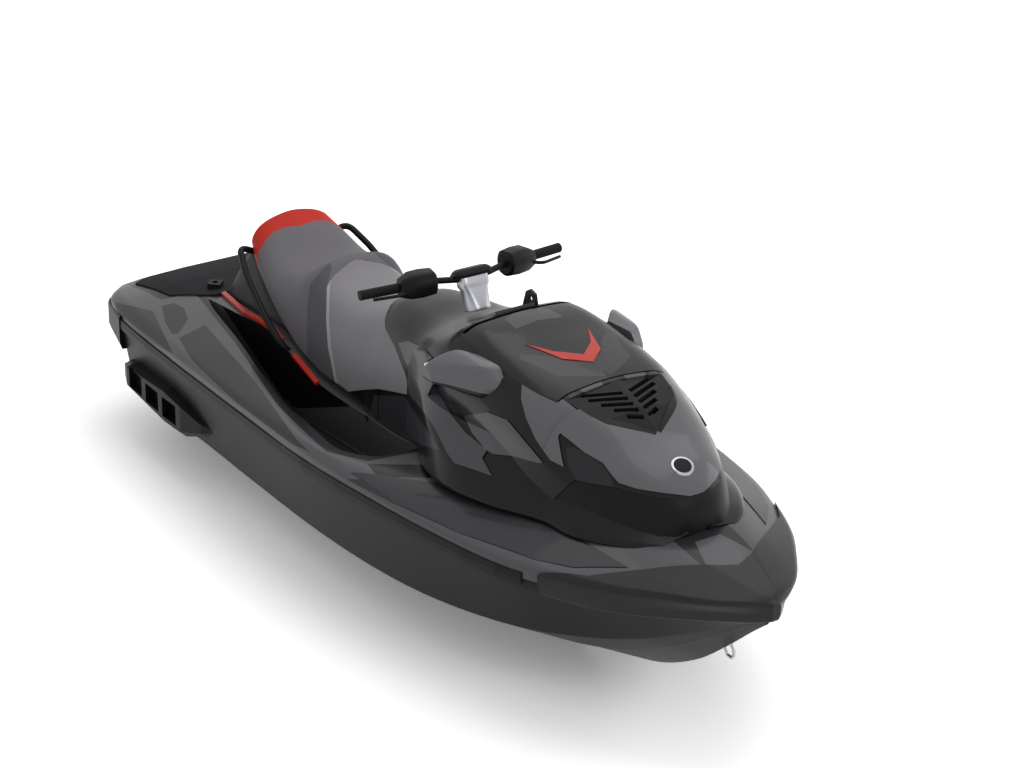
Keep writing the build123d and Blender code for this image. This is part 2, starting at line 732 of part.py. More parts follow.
def hinge_lug_rods(grow, radius):
    """Rods at both lugs of the cover's hinge, longer by a gap at each end."""
    inner, outer = barrel_half + 2, barrel_half + 2 + lug_width
    return [hinge_rod(inner - grow, outer + grow, radius), hinge_rod(-outer - grow, -inner + grow, radius)]


with BuildPart() as storage_lid:
    add(common(upper_body, cover_zone))
    add(cover_inside, mode=Mode.SUBTRACT)
    for lug in hinge_lug_rods(RUN_GAP, 9 + RUN_GAP):
        add(lug, mode=Mode.SUBTRACT)
    add(hinge_rod(-barrel_half, barrel_half, 9))
    add(box(COVER_FRONT - COVER_WALL, hinge_station, -barrel_half, barrel_half, 950, hinge_height))
    add(hinge_rod(-100, 100, HINGE_RADIUS - 1 + PIN_GAP), mode=Mode.SUBTRACT)
save(storage_lid.part, "storage_lid")

# Red chevron across the front of the cover
chevron = [(2285, -122), (2374, -72), (2436, 0), (2374, 72), (2285, 122), (2425, 74), (2488, 0), (2425, -74)]
raised_body = lofted_whole(shifted(BODY_LINES, 3, 3))
stripe = minus(common(raised_body, plan_prism(chevron, 910, 1100)), upper_body)
save(stripe, "cover_stripe")

# Hood round the storage space, with the lugs of the cover's hinge and the pocket of the grille
grille_outline = [(2606, 186), (2700, 172), (2834, 0), (2700, -172), (2606, -186)]
lowered_body = lofted_whole(shifted(BODY_LINES, 0, -26))
cover_fall = (COVER_SPLIT_REAR - COVER_SPLIT_FRONT) / (COVER_FRONT - COVER_REAR)
cover_room = side_prism(
    [
        (CONSOLE_FRONT, COVER_SPLIT_REAR + cover_fall * (COVER_REAR - CONSOLE_FRONT) - FIT_GAP),
        (COVER_FRONT + RUN_GAP, COVER_SPLIT_FRONT - cover_fall * RUN_GAP - FIT_GAP),
        (COVER_FRONT + RUN_GAP, 1200),
        (CONSOLE_FRONT, 1200),
    ],
    -500,
    500,
)
bin_outer = box(BIN_REAR, BIN_FRONT, -BIN_HALF_WIDTH, BIN_HALF_WIDTH, BIN_FLOOR, COVER_SPLIT_FRONT - 2)
bin_room = box(BIN_REAR, BIN_FRONT, -BIN_HALF_WIDTH, BIN_HALF_WIDTH, BIN_FLOOR, 1000)
bin_inner = box(
    BIN_REAR + BIN_WALL,
    BIN_FRONT - BIN_WALL,
    -BIN_HALF_WIDTH + BIN_WALL,
    BIN_HALF_WIDTH - BIN_WALL,
    BIN_FLOOR + BIN_WALL,
    1000,
)
grille_pocket = minus(plan_prism(grille_outline, 700, 1000), lowered_body)
band_zone = side_prism([(2690, 500), (3300, 500), (3300, 750), (3046, 750), (2892, 764), (2776, 760), (2700, 664)], -400, 400)
with BuildPart() as hood:
    add(common(upper_body, box(CONSOLE_FRONT, 3200, -400, 400, 400, 1100)))
    add(band_zone, mode=Mode.SUBTRACT)
    add(cover_room, mode=Mode.SUBTRACT)
    add(deck_body, mode=Mode.SUBTRACT)
    add(hull_body, mode=Mode.SUBTRACT)
    add(bin_room, mode=Mode.SUBTRACT)
    add(grille_pocket, mode=Mode.SUBTRACT)
    for side in (-1, 1):
        inner = side * (barrel_half + 2)
        outer = side * (barrel_half + 2 + lug_width)
        right, left = min(inner, outer), max(inner, outer)
        add(box(hinge_station, COVER_FRONT + 20, right, left, 940, hinge_height))
        add(hinge_rod(right, left, 9))
    add(hinge_rod(-barrel_half - RUN_GAP, barrel_half + RUN_GAP, 9 + RUN_GAP), mode=Mode.SUBTRACT)
    add(hinge_rod(-barrel_half - 20, barrel_half + 20, HINGE_RADIUS - 1))
save(hood.part, "hood")
save(minus(bin_outer, bin_inner), "storage_bin")

# Grille in the hood, a framed plate with slanted slots
with BuildPart() as hood_grille:
    with BuildSketch(Plane.XY.offset(above_keel(700))):
        with BuildLine():
            Polyline(*[(at_station(s), y) for s, y in grille_outline], close=True)
        make_face()
        offset(amount=-FIT_GAP, kind=Kind.INTERSECTION)
    extrude(amount=300)
    add(lofted_whole(shifted(BODY_LINES, 0, -5)), mode=Mode.INTERSECT)
    add(lowered_body, mode=Mode.SUBTRACT)
    with BuildSketch(Plane.XY.offset(above_keel(700))):
        for side in (-1, 1):
            for row in range(5):
                with Locations((at_station(2636 + 32 * row), side * (82 - 12 * row))):
                    Rectangle(15, 150 - 24 * row, rotation=side * 24)
    extrude(amount=300, mode=Mode.SUBTRACT)
save(hood_grille.part, "hood_grille")

# Fairings on both sides of the hood, dark band under its nose and dark deck panels
fairing_sections = {
    1800: ((230, 520), (268, 536), (262, 742), (230, 846)),
    1960: ((260, 530), (330, 560), (318, 760), (262, 880)),
    2110: ((280, 540), (408, 576), (380, 730), (280, 876)),
    2300: ((290, 560), (446, 586), (416, 676), (290, 840)),
    2500: ((290, 570), (412, 592), (388, 650), (290, 790)),
    2700: ((250, 580), (344, 600), (330, 640), (250, 742)),
    2850: ((200, 590), (322, 602), (306, 628), (200, 712)),
    3000: ((110, 600), (232, 606), (220, 624), (110, 672)),
    3070: ((30, 606), (152, 612), (144, 624), (30, 644)),
}
fairing = lofted({s: [(y, above_keel(h)) for y, h in row] for s, row in fairing_sections.items()})
fairing = minus(fairing, upper_body, deck_body, lofted_whole(SADDLE_LINES), side_prism([(2040, 780), (2440, 780), (2440, 1000), (2040, 1000)], 0, 500))
save(both_sides(fairing), "side_fairings")
band = minus(common(lofted_whole(shifted(BODY_LINES, -5, 0)), band_zone), deck_body)
save(band, "nose_band")
panel_outline = [(2000, 360), (2450, 400), (2760, 320), (3010, 216), (3050, 240), (2880, 350), (2560, 456), (2060, 540)]
panels = common(lofted_whole(shifted(DECK_LINES, 0, 4)), plan_prism(panel_outline, 500, 760))
panels = minus(panels, deck_body, fairing, upper_body)
save(both_sides(panels), "bow_panels")

# Mirrors on the sides of the hood
housing_sections = {
    262: [(2200, 902), (2304, 902), (2314, 934), (2262, 966), (2212, 962)],
    340: [(2136, 890), (2242, 890), (2238, 920), (2196, 962), (2150, 958)],
    424: [(2088, 884), (2164, 884), (2150, 912), (2132, 930), (2098, 928)],
}
glass_sections = {
    340: [(2131, 900), (2139, 900), (2151, 948), (2143, 948)],
    420: [(2083, 892), (2091, 892), (2101, 922), (2093, 922)],
}
glass = lofted_across(glass_sections)
mirror_housing = lofted_across(housing_sections)
save(both_sides(minus(mirror_housing, upper_body, glass)), "mirror_housings")
save(both_sides(glass), "mirror_glasses")

# Ride plate and intake grate
plate_half = TUNNEL_RADIUS - FIT_GAP
plate_rise = plate_half * HULL_LINES[230][2] / HULL_LINES[230][1]
plate = [(0, 0), (plate_half, plate_rise), (plate_half, plate_rise + 9), (0, 9)]
save(lofted({s: whole_section(plate) for s in (176, TUNNEL_END)}), "ride_plate")
with BuildPart() as intake_grate:
    for y in (-52, 0, 52):
        add(box(640, 925, y - 5, y + 5, 24, 44))
    for station in (640, 915):
        add(box(station, station + 10, -BORE_RADIUS, BORE_RADIUS, 24, 44))
save(intake_grate.part, "intake_grate")


def pump_plane(station, angle=0):
    """The plane across the pump's axis at a station, turned about that axis."""
    turn = math.radians(angle)
    origin = (at_station(station), 0, above_keel(PUMP_HEIGHT))
    return Plane(origin=origin, x_dir=(0, math.cos(turn), math.sin(turn)), z_dir=(1, 0, 0))


def vane(rear, length, inner, outer, thickness, angle, twist):
    """A blade from an inner to an outer radius, twisted about the pump's axis along its length."""
    with BuildPart() as blade:
        for share in (0, 0.5, 1):
            with BuildSketch(pump_plane(rear + share * length, angle + share * twist)):
                with Locations(((inner + outer) / 2, 0)):
                    Rectangle(outer - inner, thickness)
        loft(ruled=True)
    return blade.part


def turned(profile):
    """A solid of revolution about the pump's axis, from points of station and radius."""
    with BuildPart() as body:
        with BuildSketch(Plane.XZ):
            with BuildLine():
                Polyline(*[(at_station(s), above_keel(PUMP_HEIGHT) + r) for s, r in profile], close=True)
            make_face()
        revolve(axis=Axis((0, 0, above_keel(PUMP_HEIGHT)), (1, 0, 0)))
    return body.part


# Pump housing with its stator, bearing hub and tail cone
pump_outer = BORE_RADIUS + PUMP_WALL
hub_end = STATOR_REAR + STATOR_LENGTH
with BuildPart() as pump_housing:
    add(
        turned(
            [
                (PUMP_REAR, BORE_RADIUS),
                (PUMP_REAR, PUMP_FLANGE_RADIUS),
                (PUMP_REAR + PUMP_FLANGE_THICKNESS, PUMP_FLANGE_RADIUS),
                (PUMP_REAR + PUMP_FLANGE_THICKNESS, pump_outer),
                (TUNNEL_END - PUMP_FLANGE_THICKNESS, pump_outer),
                (TUNNEL_END - PUMP_FLANGE_THICKNESS, PUMP_FLANGE_RADIUS),
                (TUNNEL_END, PUMP_FLANGE_RADIUS),
                (TUNNEL_END, BORE_RADIUS),
            ]
        )
    )
    add(turned([(STATOR_REAR - 70, 0), (STATOR_REAR - 70, 8), (STATOR_REAR, HUB_RADIUS), (hub_end, HUB_RADIUS), (hub_end, 0)]))
    for index in range(STATOR_VANES):
        angle = index * 360 / STATOR_VANES
        add(vane(STATOR_REAR, STATOR_LENGTH, HUB_RADIUS - 3, BORE_RADIUS + 3, STATOR_THICKNESS, angle, -18))
    with BuildSketch(pump_plane(STATOR_REAR)):
        Circle(SHAFT_RADIUS + PIN_GAP)
    extrude(amount=STATOR_LENGTH, mode=Mode.SUBTRACT)
save(pump_housing.part, "pump_housing")

# Impeller on its shaft, reaching forward to the engine
tip_radius = BORE_RADIUS - TIP_GAP
with BuildPart() as impeller:
    add(
        turned(
            [
                (STATOR_REAR + 2, 0),
                (STATOR_REAR + 2, SHAFT_RADIUS),
                (IMPELLER_REAR - 2, SHAFT_RADIUS),
                (IMPELLER_REAR - 2, HUB_RADIUS),
                (IMPELLER_REAR + IMPELLER_LENGTH, HUB_RADIUS - 6),
                (IMPELLER_REAR + IMPELLER_LENGTH + 26, SHAFT_RADIUS + 2),
                (IMPELLER_REAR + IMPELLER_LENGTH + 26, SHAFT_RADIUS),
                (ENGINE_REAR - PIN_GAP, SHAFT_RADIUS),
                (ENGINE_REAR - PIN_GAP, 0),
            ]
        )
    )
    for index in range(IMPELLER_BLADES):
        angle = index * 360 / IMPELLER_BLADES
        add(vane(IMPELLER_REAR, IMPELLER_LENGTH, HUB_RADIUS - 9, tip_radius, BLADE_THICKNESS, angle, BLADE_TWIST))
save(impeller.part, "impeller")

# Outlet nozzle of the pump, with the side lugs that carry the trim ring
lug_root = [(PUMP_REAR - 4, 96), (PUMP_REAR - 4, 174), (PIVOT, PUMP_HEIGHT + LUG_RADIUS), (PIVOT, PUMP_HEIGHT - LUG_RADIUS)]


def pivot_rod(start, end, radius):
    """A rod across the craft on the pivot line of the trim ring, between two breadths."""
    return rod((PIVOT, start, PUMP_HEIGHT), (PIVOT, end, PUMP_HEIGHT), radius)


lug = joined(
    side_prism(lug_root, LUG_INNER, LUG_INNER + LUG_THICKNESS),
    pivot_rod(LUG_INNER, LUG_INNER + LUG_THICKNESS, LUG_RADIUS),
)
with BuildPart() as pump_nozzle:
    add(
        turned(
            [
                (PUMP_REAR, BORE_RADIUS),
                (PUMP_REAR, PUMP_FLANGE_RADIUS),
                (PUMP_REAR - PUMP_FLANGE_THICKNESS, PUMP_FLANGE_RADIUS),
                (PUMP_REAR - PUMP_FLANGE_THICKNESS, pump_outer),
                (VENTURI_END + 60, VENTURI_RADIUS + VENTURI_WALL + 8),
                (VENTURI_END + 36, VENTURI_RADIUS + VENTURI_WALL),
                (VENTURI_END, VENTURI_RADIUS + VENTURI_WALL),
                (VENTURI_END, VENTURI_RADIUS),
                (VENTURI_END + 36, VENTURI_RADIUS),
            ]
        )
    )
    add(lug)
    mirror(lug, about=Plane.XZ)
    add(pivot_rod(-200, -60, PIN_RADIUS + PIN_GAP), mode=Mode.SUBTRACT)
    add(pivot_rod(60, 200, PIN_RADIUS + PIN_GAP), mode=Mode.SUBTRACT)
save(pump_nozzle.part, "pump_nozzle")

# Trim ring, tilting on its side pins
pin_end = ARM_INNER + ARM_THICKNESS + 2
ring_outer = RING_RADIUS + RING_WALL
with BuildPart() as trim_ring:
    add(
        turned(
            [
                (PIVOT - RING_LENGTH / 2, RING_RADIUS),
                (PIVOT - RING_LENGTH / 2, ring_outer),
                (PIVOT + RING_LENGTH / 2, ring_outer),
                (PIVOT + RING_LENGTH / 2, RING_RADIUS),
            ]
        )
    )
    add(pivot_rod(ring_outer - 2, pin_end, PIN_RADIUS))
    add(pivot_rod(-pin_end, -ring_outer + 2, PIN_RADIUS))
    with BuildSketch(Plane(origin=(at_station(PIVOT), 0, above_keel(PUMP_HEIGHT - 120)))):
        Circle(PIN_RADIUS - 1 + PIN_GAP)
    extrude(amount=240, mode=Mode.SUBTRACT)
save(trim_ring.part, "trim_ring")

# Steering nozzle, turning on its upper and lower pins inside the ring
nozzle_tip = PIVOT - NOZZLE_LENGTH
with BuildPart() as steering_nozzle:
    add(
        turned(
            [
                (PIVOT + NOZZLE_AHEAD, NOZZLE_FRONT_RADIUS),
                (PIVOT + NOZZLE_AHEAD, NOZZLE_FRONT_RADIUS + NOZZLE_WALL),
                (PIVOT - NOZZLE_AHEAD, NOZZLE_FRONT_RADIUS + NOZZLE_WALL),
                (nozzle_tip, NOZZLE_END_RADIUS + NOZZLE_WALL),
                (nozzle_tip, NOZZLE_END_RADIUS),
                (PIVOT - NOZZLE_AHEAD, NOZZLE_FRONT_RADIUS),
            ]
        )
    )
    for side in (-1, 1):
        near = PUMP_HEIGHT + side * (NOZZLE_FRONT_RADIUS + 3)
        add(rod((PIVOT, 0, near), (PIVOT, 0, PUMP_HEIGHT + side * ring_outer), PIN_RADIUS - 1))
save(steering_nozzle.part, "steering_nozzle")


def gate_point(angle, radius):
    """Station and height of a point on the gate, at an angle above the rearward direction."""
    turn = math.radians(angle)
    return (PIVOT - radius * math.cos(turn), PUMP_HEIGHT + radius * math.sin(turn))


# Reverse gate, a curved bucket on two side arms
gate_outer = GATE_RADIUS + GATE_WALL
arm_outline = [(PIVOT, PUMP_HEIGHT)]
arm_outline += [gate_point(GATE_LOW_ANGLE + k * (GATE_TOP_ANGLE - GATE_LOW_ANGLE) / 4, gate_outer) for k in range(5)]
middle = (GATE_LOW_ANGLE + GATE_TOP_ANGLE) / 2
with BuildPart() as reverse_gate:
    with BuildSketch(Plane.XZ.offset(-ARM_INNER - ARM_THICKNESS)):
        with BuildLine():
            arcs = []
            for radius in (GATE_RADIUS, gate_outer):
                points = [gate_point(a, radius) for a in (GATE_LOW_ANGLE, middle, GATE_TOP_ANGLE)]
                arcs.append(ThreePointArc(*[(at_station(s), above_keel(h)) for s, h in points]))
            Line(arcs[0] @ 0, arcs[1] @ 0)
            Line(arcs[0] @ 1, arcs[1] @ 1)
        make_face()
    extrude(amount=2 * (ARM_INNER + ARM_THICKNESS))
    for side in (-1, 1):
        right, left = sorted((side * ARM_INNER, side * (ARM_INNER + ARM_THICKNESS)))
        add(side_prism(arm_outline, right, left))
        add(pivot_rod(right, left, 16))
    add(pivot_rod(-200, 200, PIN_RADIUS + PIN_GAP), mode=Mode.SUBTRACT)
save(reverse_gate.part, "reverse_gate")
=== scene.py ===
"""Scene of a personal watercraft: smooth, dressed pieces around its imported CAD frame.

The tables are in millimetres. A station is measured forward from the aft edge of the platform, a breadth
from the centre line and a height up from the keel. place() turns such points into metres in the row frame.
A row of DECK_LINES runs from the joint up to the crown, and one of HULL_LINES has the keel and the chine.
"""
from __future__ import annotations

import json
import logging
import math
from dataclasses import dataclass
from enum import Enum
from typing import Any, Iterable, Sequence

import bmesh
import bpy
import numpy as np
from mathutils import Matrix, Vector

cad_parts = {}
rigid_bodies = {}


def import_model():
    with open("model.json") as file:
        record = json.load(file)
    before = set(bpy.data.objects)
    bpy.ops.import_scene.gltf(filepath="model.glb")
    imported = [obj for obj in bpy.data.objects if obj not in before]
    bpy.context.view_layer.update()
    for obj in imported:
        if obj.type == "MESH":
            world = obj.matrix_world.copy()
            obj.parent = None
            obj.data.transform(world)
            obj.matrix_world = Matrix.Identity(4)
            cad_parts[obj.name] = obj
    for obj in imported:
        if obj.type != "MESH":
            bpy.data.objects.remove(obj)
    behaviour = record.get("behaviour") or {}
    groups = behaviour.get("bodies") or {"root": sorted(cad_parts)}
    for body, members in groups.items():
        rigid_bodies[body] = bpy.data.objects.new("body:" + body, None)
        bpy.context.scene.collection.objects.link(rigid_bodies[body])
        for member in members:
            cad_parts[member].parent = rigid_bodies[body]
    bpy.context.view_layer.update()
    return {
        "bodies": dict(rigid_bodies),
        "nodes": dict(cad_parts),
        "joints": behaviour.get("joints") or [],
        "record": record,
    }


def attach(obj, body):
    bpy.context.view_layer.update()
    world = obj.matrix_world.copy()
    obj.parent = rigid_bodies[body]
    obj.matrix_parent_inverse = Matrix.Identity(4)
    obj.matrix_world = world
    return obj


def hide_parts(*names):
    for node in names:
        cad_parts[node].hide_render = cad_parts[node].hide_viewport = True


LOG = logging.getLogger("watercraft")
MM = 0.001
ORIGIN_STATION = 1725
DRAFT = 300

Outline = Sequence[tuple[float, float]]

DECK_LINES = {
    0: ((418, 428), (420, 466), (400, 482), (300, 492), (150, 496)),
    60: ((478, 429), (480, 470), (452, 490), (300, 508), (150, 514)),
    230: ((521, 430), (522, 474), (486, 502), (300, 538), (180, 546)),
    700: ((558, 440), (560, 490), (540, 512), (370, 550), (262, 578)),
    900: ((570, 446), (572, 496), (554, 516), (430, 549), (262, 584)),
    1200: ((588, 455), (590, 505), (574, 524), (490, 548), (262, 486)),
    1700: ((613, 472), (615, 522), (602, 538), (588, 550), (262, 484)),
    2100: ((592, 480), (594, 521), (582, 535), (522, 556), (300, 570)),
    2400: ((560, 482), (561, 521), (549, 533), (470, 562), (290, 600)),
    2700: ((508, 485), (508, 523), (496, 535), (404, 572), (250, 622)),
    2900: ((436, 489), (437, 527), (425, 539), (340, 578), (210, 634)),
    3080: ((346, 494), (352, 533), (340, 543), (250, 580), (140, 628)),
    3220: ((232, 502), (256, 541), (246, 550), (172, 578), (86, 604)),
    3340: ((120, 512), (160, 546), (151, 553), (104, 566), (50, 580)),
    3410: ((52, 520), (78, 549), (72, 554), (48, 560), (24, 564)),
    3445: ((12, 527), (13, 541), (12, 544), (8, 546), (4, 547)),
}
HULL_LINES = {
    230: ((0, 0), (478, 170)),
    700: ((0, 0), (503, 175)),
    900: ((0, 0), (512, 179)),
    1200: ((0, 0), (528, 185)),
    1700: ((0, 0), (545, 195)),
    2100: ((0, 0), (535, 210)),
    2400: ((0, 6), (500, 230)),
    2700: ((0, 40), (430, 262)),
    2900: ((0, 95), (350, 295)),
    3080: ((0, 190), (240, 335)),
    3220: ((0, 300), (140, 390)),
    3340: ((0, 405), (66, 450)),
    3410: ((0, 462), (22, 482)),
}
BODY_LINES = {
    1440: ((216, 470), (204, 626), (150, 784), (98, 856), (0, 870)),
    1500: ((228, 470), (217, 650), (170, 816), (112, 876), (0, 889)),
    1600: ((236, 470), (226, 686), (184, 844), (120, 888), (0, 900)),
    1800: ((256, 470), (248, 744), (216, 868), (140, 906), (0, 914)),
    1960: ((296, 470), (290, 792), (262, 917), (180, 957), (0, 966)),
    2070: ((306, 470), (302, 815), (276, 940), (200, 1008), (0, 1022)),
    2300: ((322, 520), (318, 835), (280, 938), (210, 992), (0, 1010)),
    2500: ((326, 540), (318, 825), (270, 915), (200, 968), (0, 988)),
    2600: ((324, 550), (310, 808), (254, 892), (186, 950), (0, 972)),
    2741: ((302, 560), (284, 765), (222, 850), (154, 912), (0, 934)),
    2860: ((262, 570), (240, 735), (190, 806), (130, 846), (0, 864)),
    2975: ((204, 585), (176, 712), (144, 770), (98, 798), (0, 811)),
    3038: ((146, 596), (122, 690), (96, 732), (64, 750), (0, 757)),
    3064: ((100, 606), (80, 662), (58, 698), (36, 712), (0, 718)),
}
SADDLE_LINES = {
    598: ((170, 796), (163, 830), (136, 860), (88, 882), (0, 898)),
    680: ((198, 744), (191, 784), (160, 818), (106, 838), (0, 851)),
    780: ((219, 696), (212, 742), (176, 776), (114, 791), (0, 794)),
    867: ((231, 648), (225, 722), (188, 774), (128, 788), (0, 784)),
    950: ((234, 600), (226, 712), (186, 782), (126, 806), (0, 812)),
    1016: ((234, 562), (223, 712), (184, 802), (124, 848), (0, 864)),
    1080: ((232, 540), (217, 690), (174, 776), (116, 808), (0, 818)),
    1174: ((228, 512), (208, 650), (164, 748), (108, 780), (0, 790)),
    1320: ((225, 505), (202, 640), (154, 748), (100, 786), (0, 800)),
    1440: ((222, 490), (206, 632), (148, 772), (92, 826), (0, 839)),
    1530: ((234, 480), (223, 660), (174, 808), (108, 856), (0, 868)),
    1640: ((243, 480), (233, 692), (190, 834), (124, 880), (0, 892)),
    1810: ((259, 480), (252, 742), (220, 866), (140, 904), (0, 912)),
}
PEDESTAL_LINES = {
    470: ((222, 470), (200, 590), (130, 592)),
    540: ((236, 470), (186, 700), (112, 716)),
    600: ((242, 470), (168, 782), (104, 800)),
    760: ((248, 470), (202, 690), (134, 706)),
    867: ((250, 470), (208, 636), (136, 670)),
    1012: ((226, 470), (196, 600), (130, 690)),
    1200: ((206, 470), (176, 600), (110, 668)),
    1440: ((200, 470), (172, 600), (104, 690)),
}
WELL_MOUTH = (
    (338, 276), (1000, 270), (1500, 240), (1940, 282), (1936, 500), (1800, 578), (1380, 520), (1052, 436),
)
WELL_BASE = (
    (690, 262), (1000, 262), (1500, 230), (1860, 262), (1852, 396), (1760, 426), (1380, 424), (1000, 366),
)
SEAT_PARTING = ((1018, 960), (1024, 867), (1050, 838), (1108, 760), (1160, 690), (1216, 581), (1276, 470))
CONSOLE_PARTING = (
    (1462, 930), (1458, 846), (1528, 806), (1636, 778), (1751, 732),
    (1800, 690), (1784, 668), (1560, 600), (1300, 486), (1290, 440),
)
BEFORE_CONSOLE = (*CONSOLE_PARTING, (900, 440), (900, 930))


def place(points: Any) -> np.ndarray:
    """Points of station, breadth and height in millimetres as metres in the row frame."""
    return (np.asarray(points, float) - (ORIGIN_STATION, 0.0, DRAFT)) * MM


# Materials


@dataclass(frozen=True)
class Shot:
    """The camera of the photograph: where it is, its angles in degrees and its lens in millimetres."""

    position: tuple[float, float, float] = (8.03906, -5.26501, 4.61783)
    azimuth: float = 55.7437
    elevation: float = 24.0704
    roll: float = 0.5597
    lens: float = 108.95
    sensor: float = 36.0
    pixels: float = 1024.0
    shape: float = 0.75

    @property
    def focal(self) -> float:
        """Focal length in pixels."""
        return self.lens / self.sensor * self.pixels

    @property
    def middle(self) -> tuple[float, float]:
        """The picture's middle in pixels across and down."""
        return self.pixels / 2, self.pixels * self.shape / 2

    def axes(self) -> tuple[np.ndarray, np.ndarray, np.ndarray]:
        """The camera's right, up and back directions."""
        azimuth, elevation, roll = (math.radians(v) for v in (self.azimuth, self.elevation, self.roll))
        flat = math.cos(elevation)
        back = np.array((math.sin(azimuth) * flat, -math.cos(azimuth) * flat, math.sin(elevation)))
        level = np.cross((0, 0, 1), back)
        level /= np.linalg.norm(level)
        upright = np.cross(back, level)
        right = math.cos(roll) * level + math.sin(roll) * upright
        return right, -math.sin(roll) * level + math.cos(roll) * upright, back


SHOT = Shot()


class Slot(str, Enum):
    """Material slots of the record."""

    HULL = "hull_shell"
    DECK = "deck_shell"
    TRIM = "black_trim"
    ENGINE = "engine"
    SEAT = "seat_cover"
    SEAT_REAR = "seat_rear"
    GREY = "grey_panel"
    DARK = "dark_panel"
    RED = "red_trim"
    MAT = "mat"
    GRIP = "grip"
    STEEL = "steel"
    ALLOY = "alloy"
    MIRROR = "mirror"
    SCREEN = "screen"


class View(Enum):
    """The two coordinates that a painted zone is drawn in. A zone is on both sides of the craft."""

    PLAN = "station and breadth"
    SIDE = "station and height"
    QUARTER = "across and down the picture from the starboard bow, in pixels"


@dataclass(frozen=True)
class Zone:
    """A painted area."""

    colour: tuple[int, int, int]
    outline: Outline
    view: View = View.PLAN


@dataclass(frozen=True)
class Finish:
    """Colour and surface of a material; grain is in bumps a metre and relief in metres."""

    colour: tuple[int, int, int]
    roughness: float
    coat: float = 0.0
    metallic: float = 0.0
    grain: float = 900.0
    relief: float = 0.0
    mottle: float = 0.06
    specular: float = 0.12
    zones: tuple[Zone, ...] = ()


class Wire:
    """A value in a node graph that can be added, subtracted, multiplied and compared."""

    def __init__(self, graph: "Graph", socket: bpy.types.NodeSocket) -> None:
        self.graph = graph
        self.socket = socket

    def _math(self, operation: str, first: Any, second: Any = None) -> "Wire":
        """A Math node on one or two values."""
        sockets = {0: first} if second is None else {0: first, 1: second}
        return self.graph.wire(self.graph.node("ShaderNodeMath", {"operation": operation}, sockets))

    def __add__(self, other: Any) -> "Wire":
        return self._math("ADD", self, other)

    def __radd__(self, other: Any) -> "Wire":
        return self._math("ADD", other, self)

    def __sub__(self, other: Any) -> "Wire":
        return self._math("SUBTRACT", self, other)

    def __rsub__(self, other: Any) -> "Wire":
        return self._math("SUBTRACT", other, self)

    def __mul__(self, other: Any) -> "Wire":
        return self._math("MULTIPLY", self, other)

    def __rmul__(self, other: Any) -> "Wire":
        return self._math("MULTIPLY", other, self)

    def __truediv__(self, other: Any) -> "Wire":
        return self._math("DIVIDE", self, other)

    def __rtruediv__(self, other: Any) -> "Wire":
        return self._math("DIVIDE", other, self)

    def __abs__(self) -> "Wire":
        return self._math("ABSOLUTE", self)

    def __gt__(self, other: Any) -> "Wire":
        return self._math("GREATER_THAN", self, other)

    def least(self, other: Any) -> "Wire":
        """The smaller of two values."""
        return self._math("MINIMUM", self, other)

    def most(self, other: Any) -> "Wire":
        """The larger of two values."""
        return self._math("MAXIMUM", self, other)


def linear(colour: tuple[int, int, int]) -> tuple[float, float, float, float]:
    """An sRGB colour of 0 to 255 as linear values."""
    share = np.asarray(colour, float) / 255
    value = np.where(share <= 0.04045, share / 12.92, ((share + 0.055) / 1.055) ** 2.4)
    return (*(float(v) for v in value), 1.0)


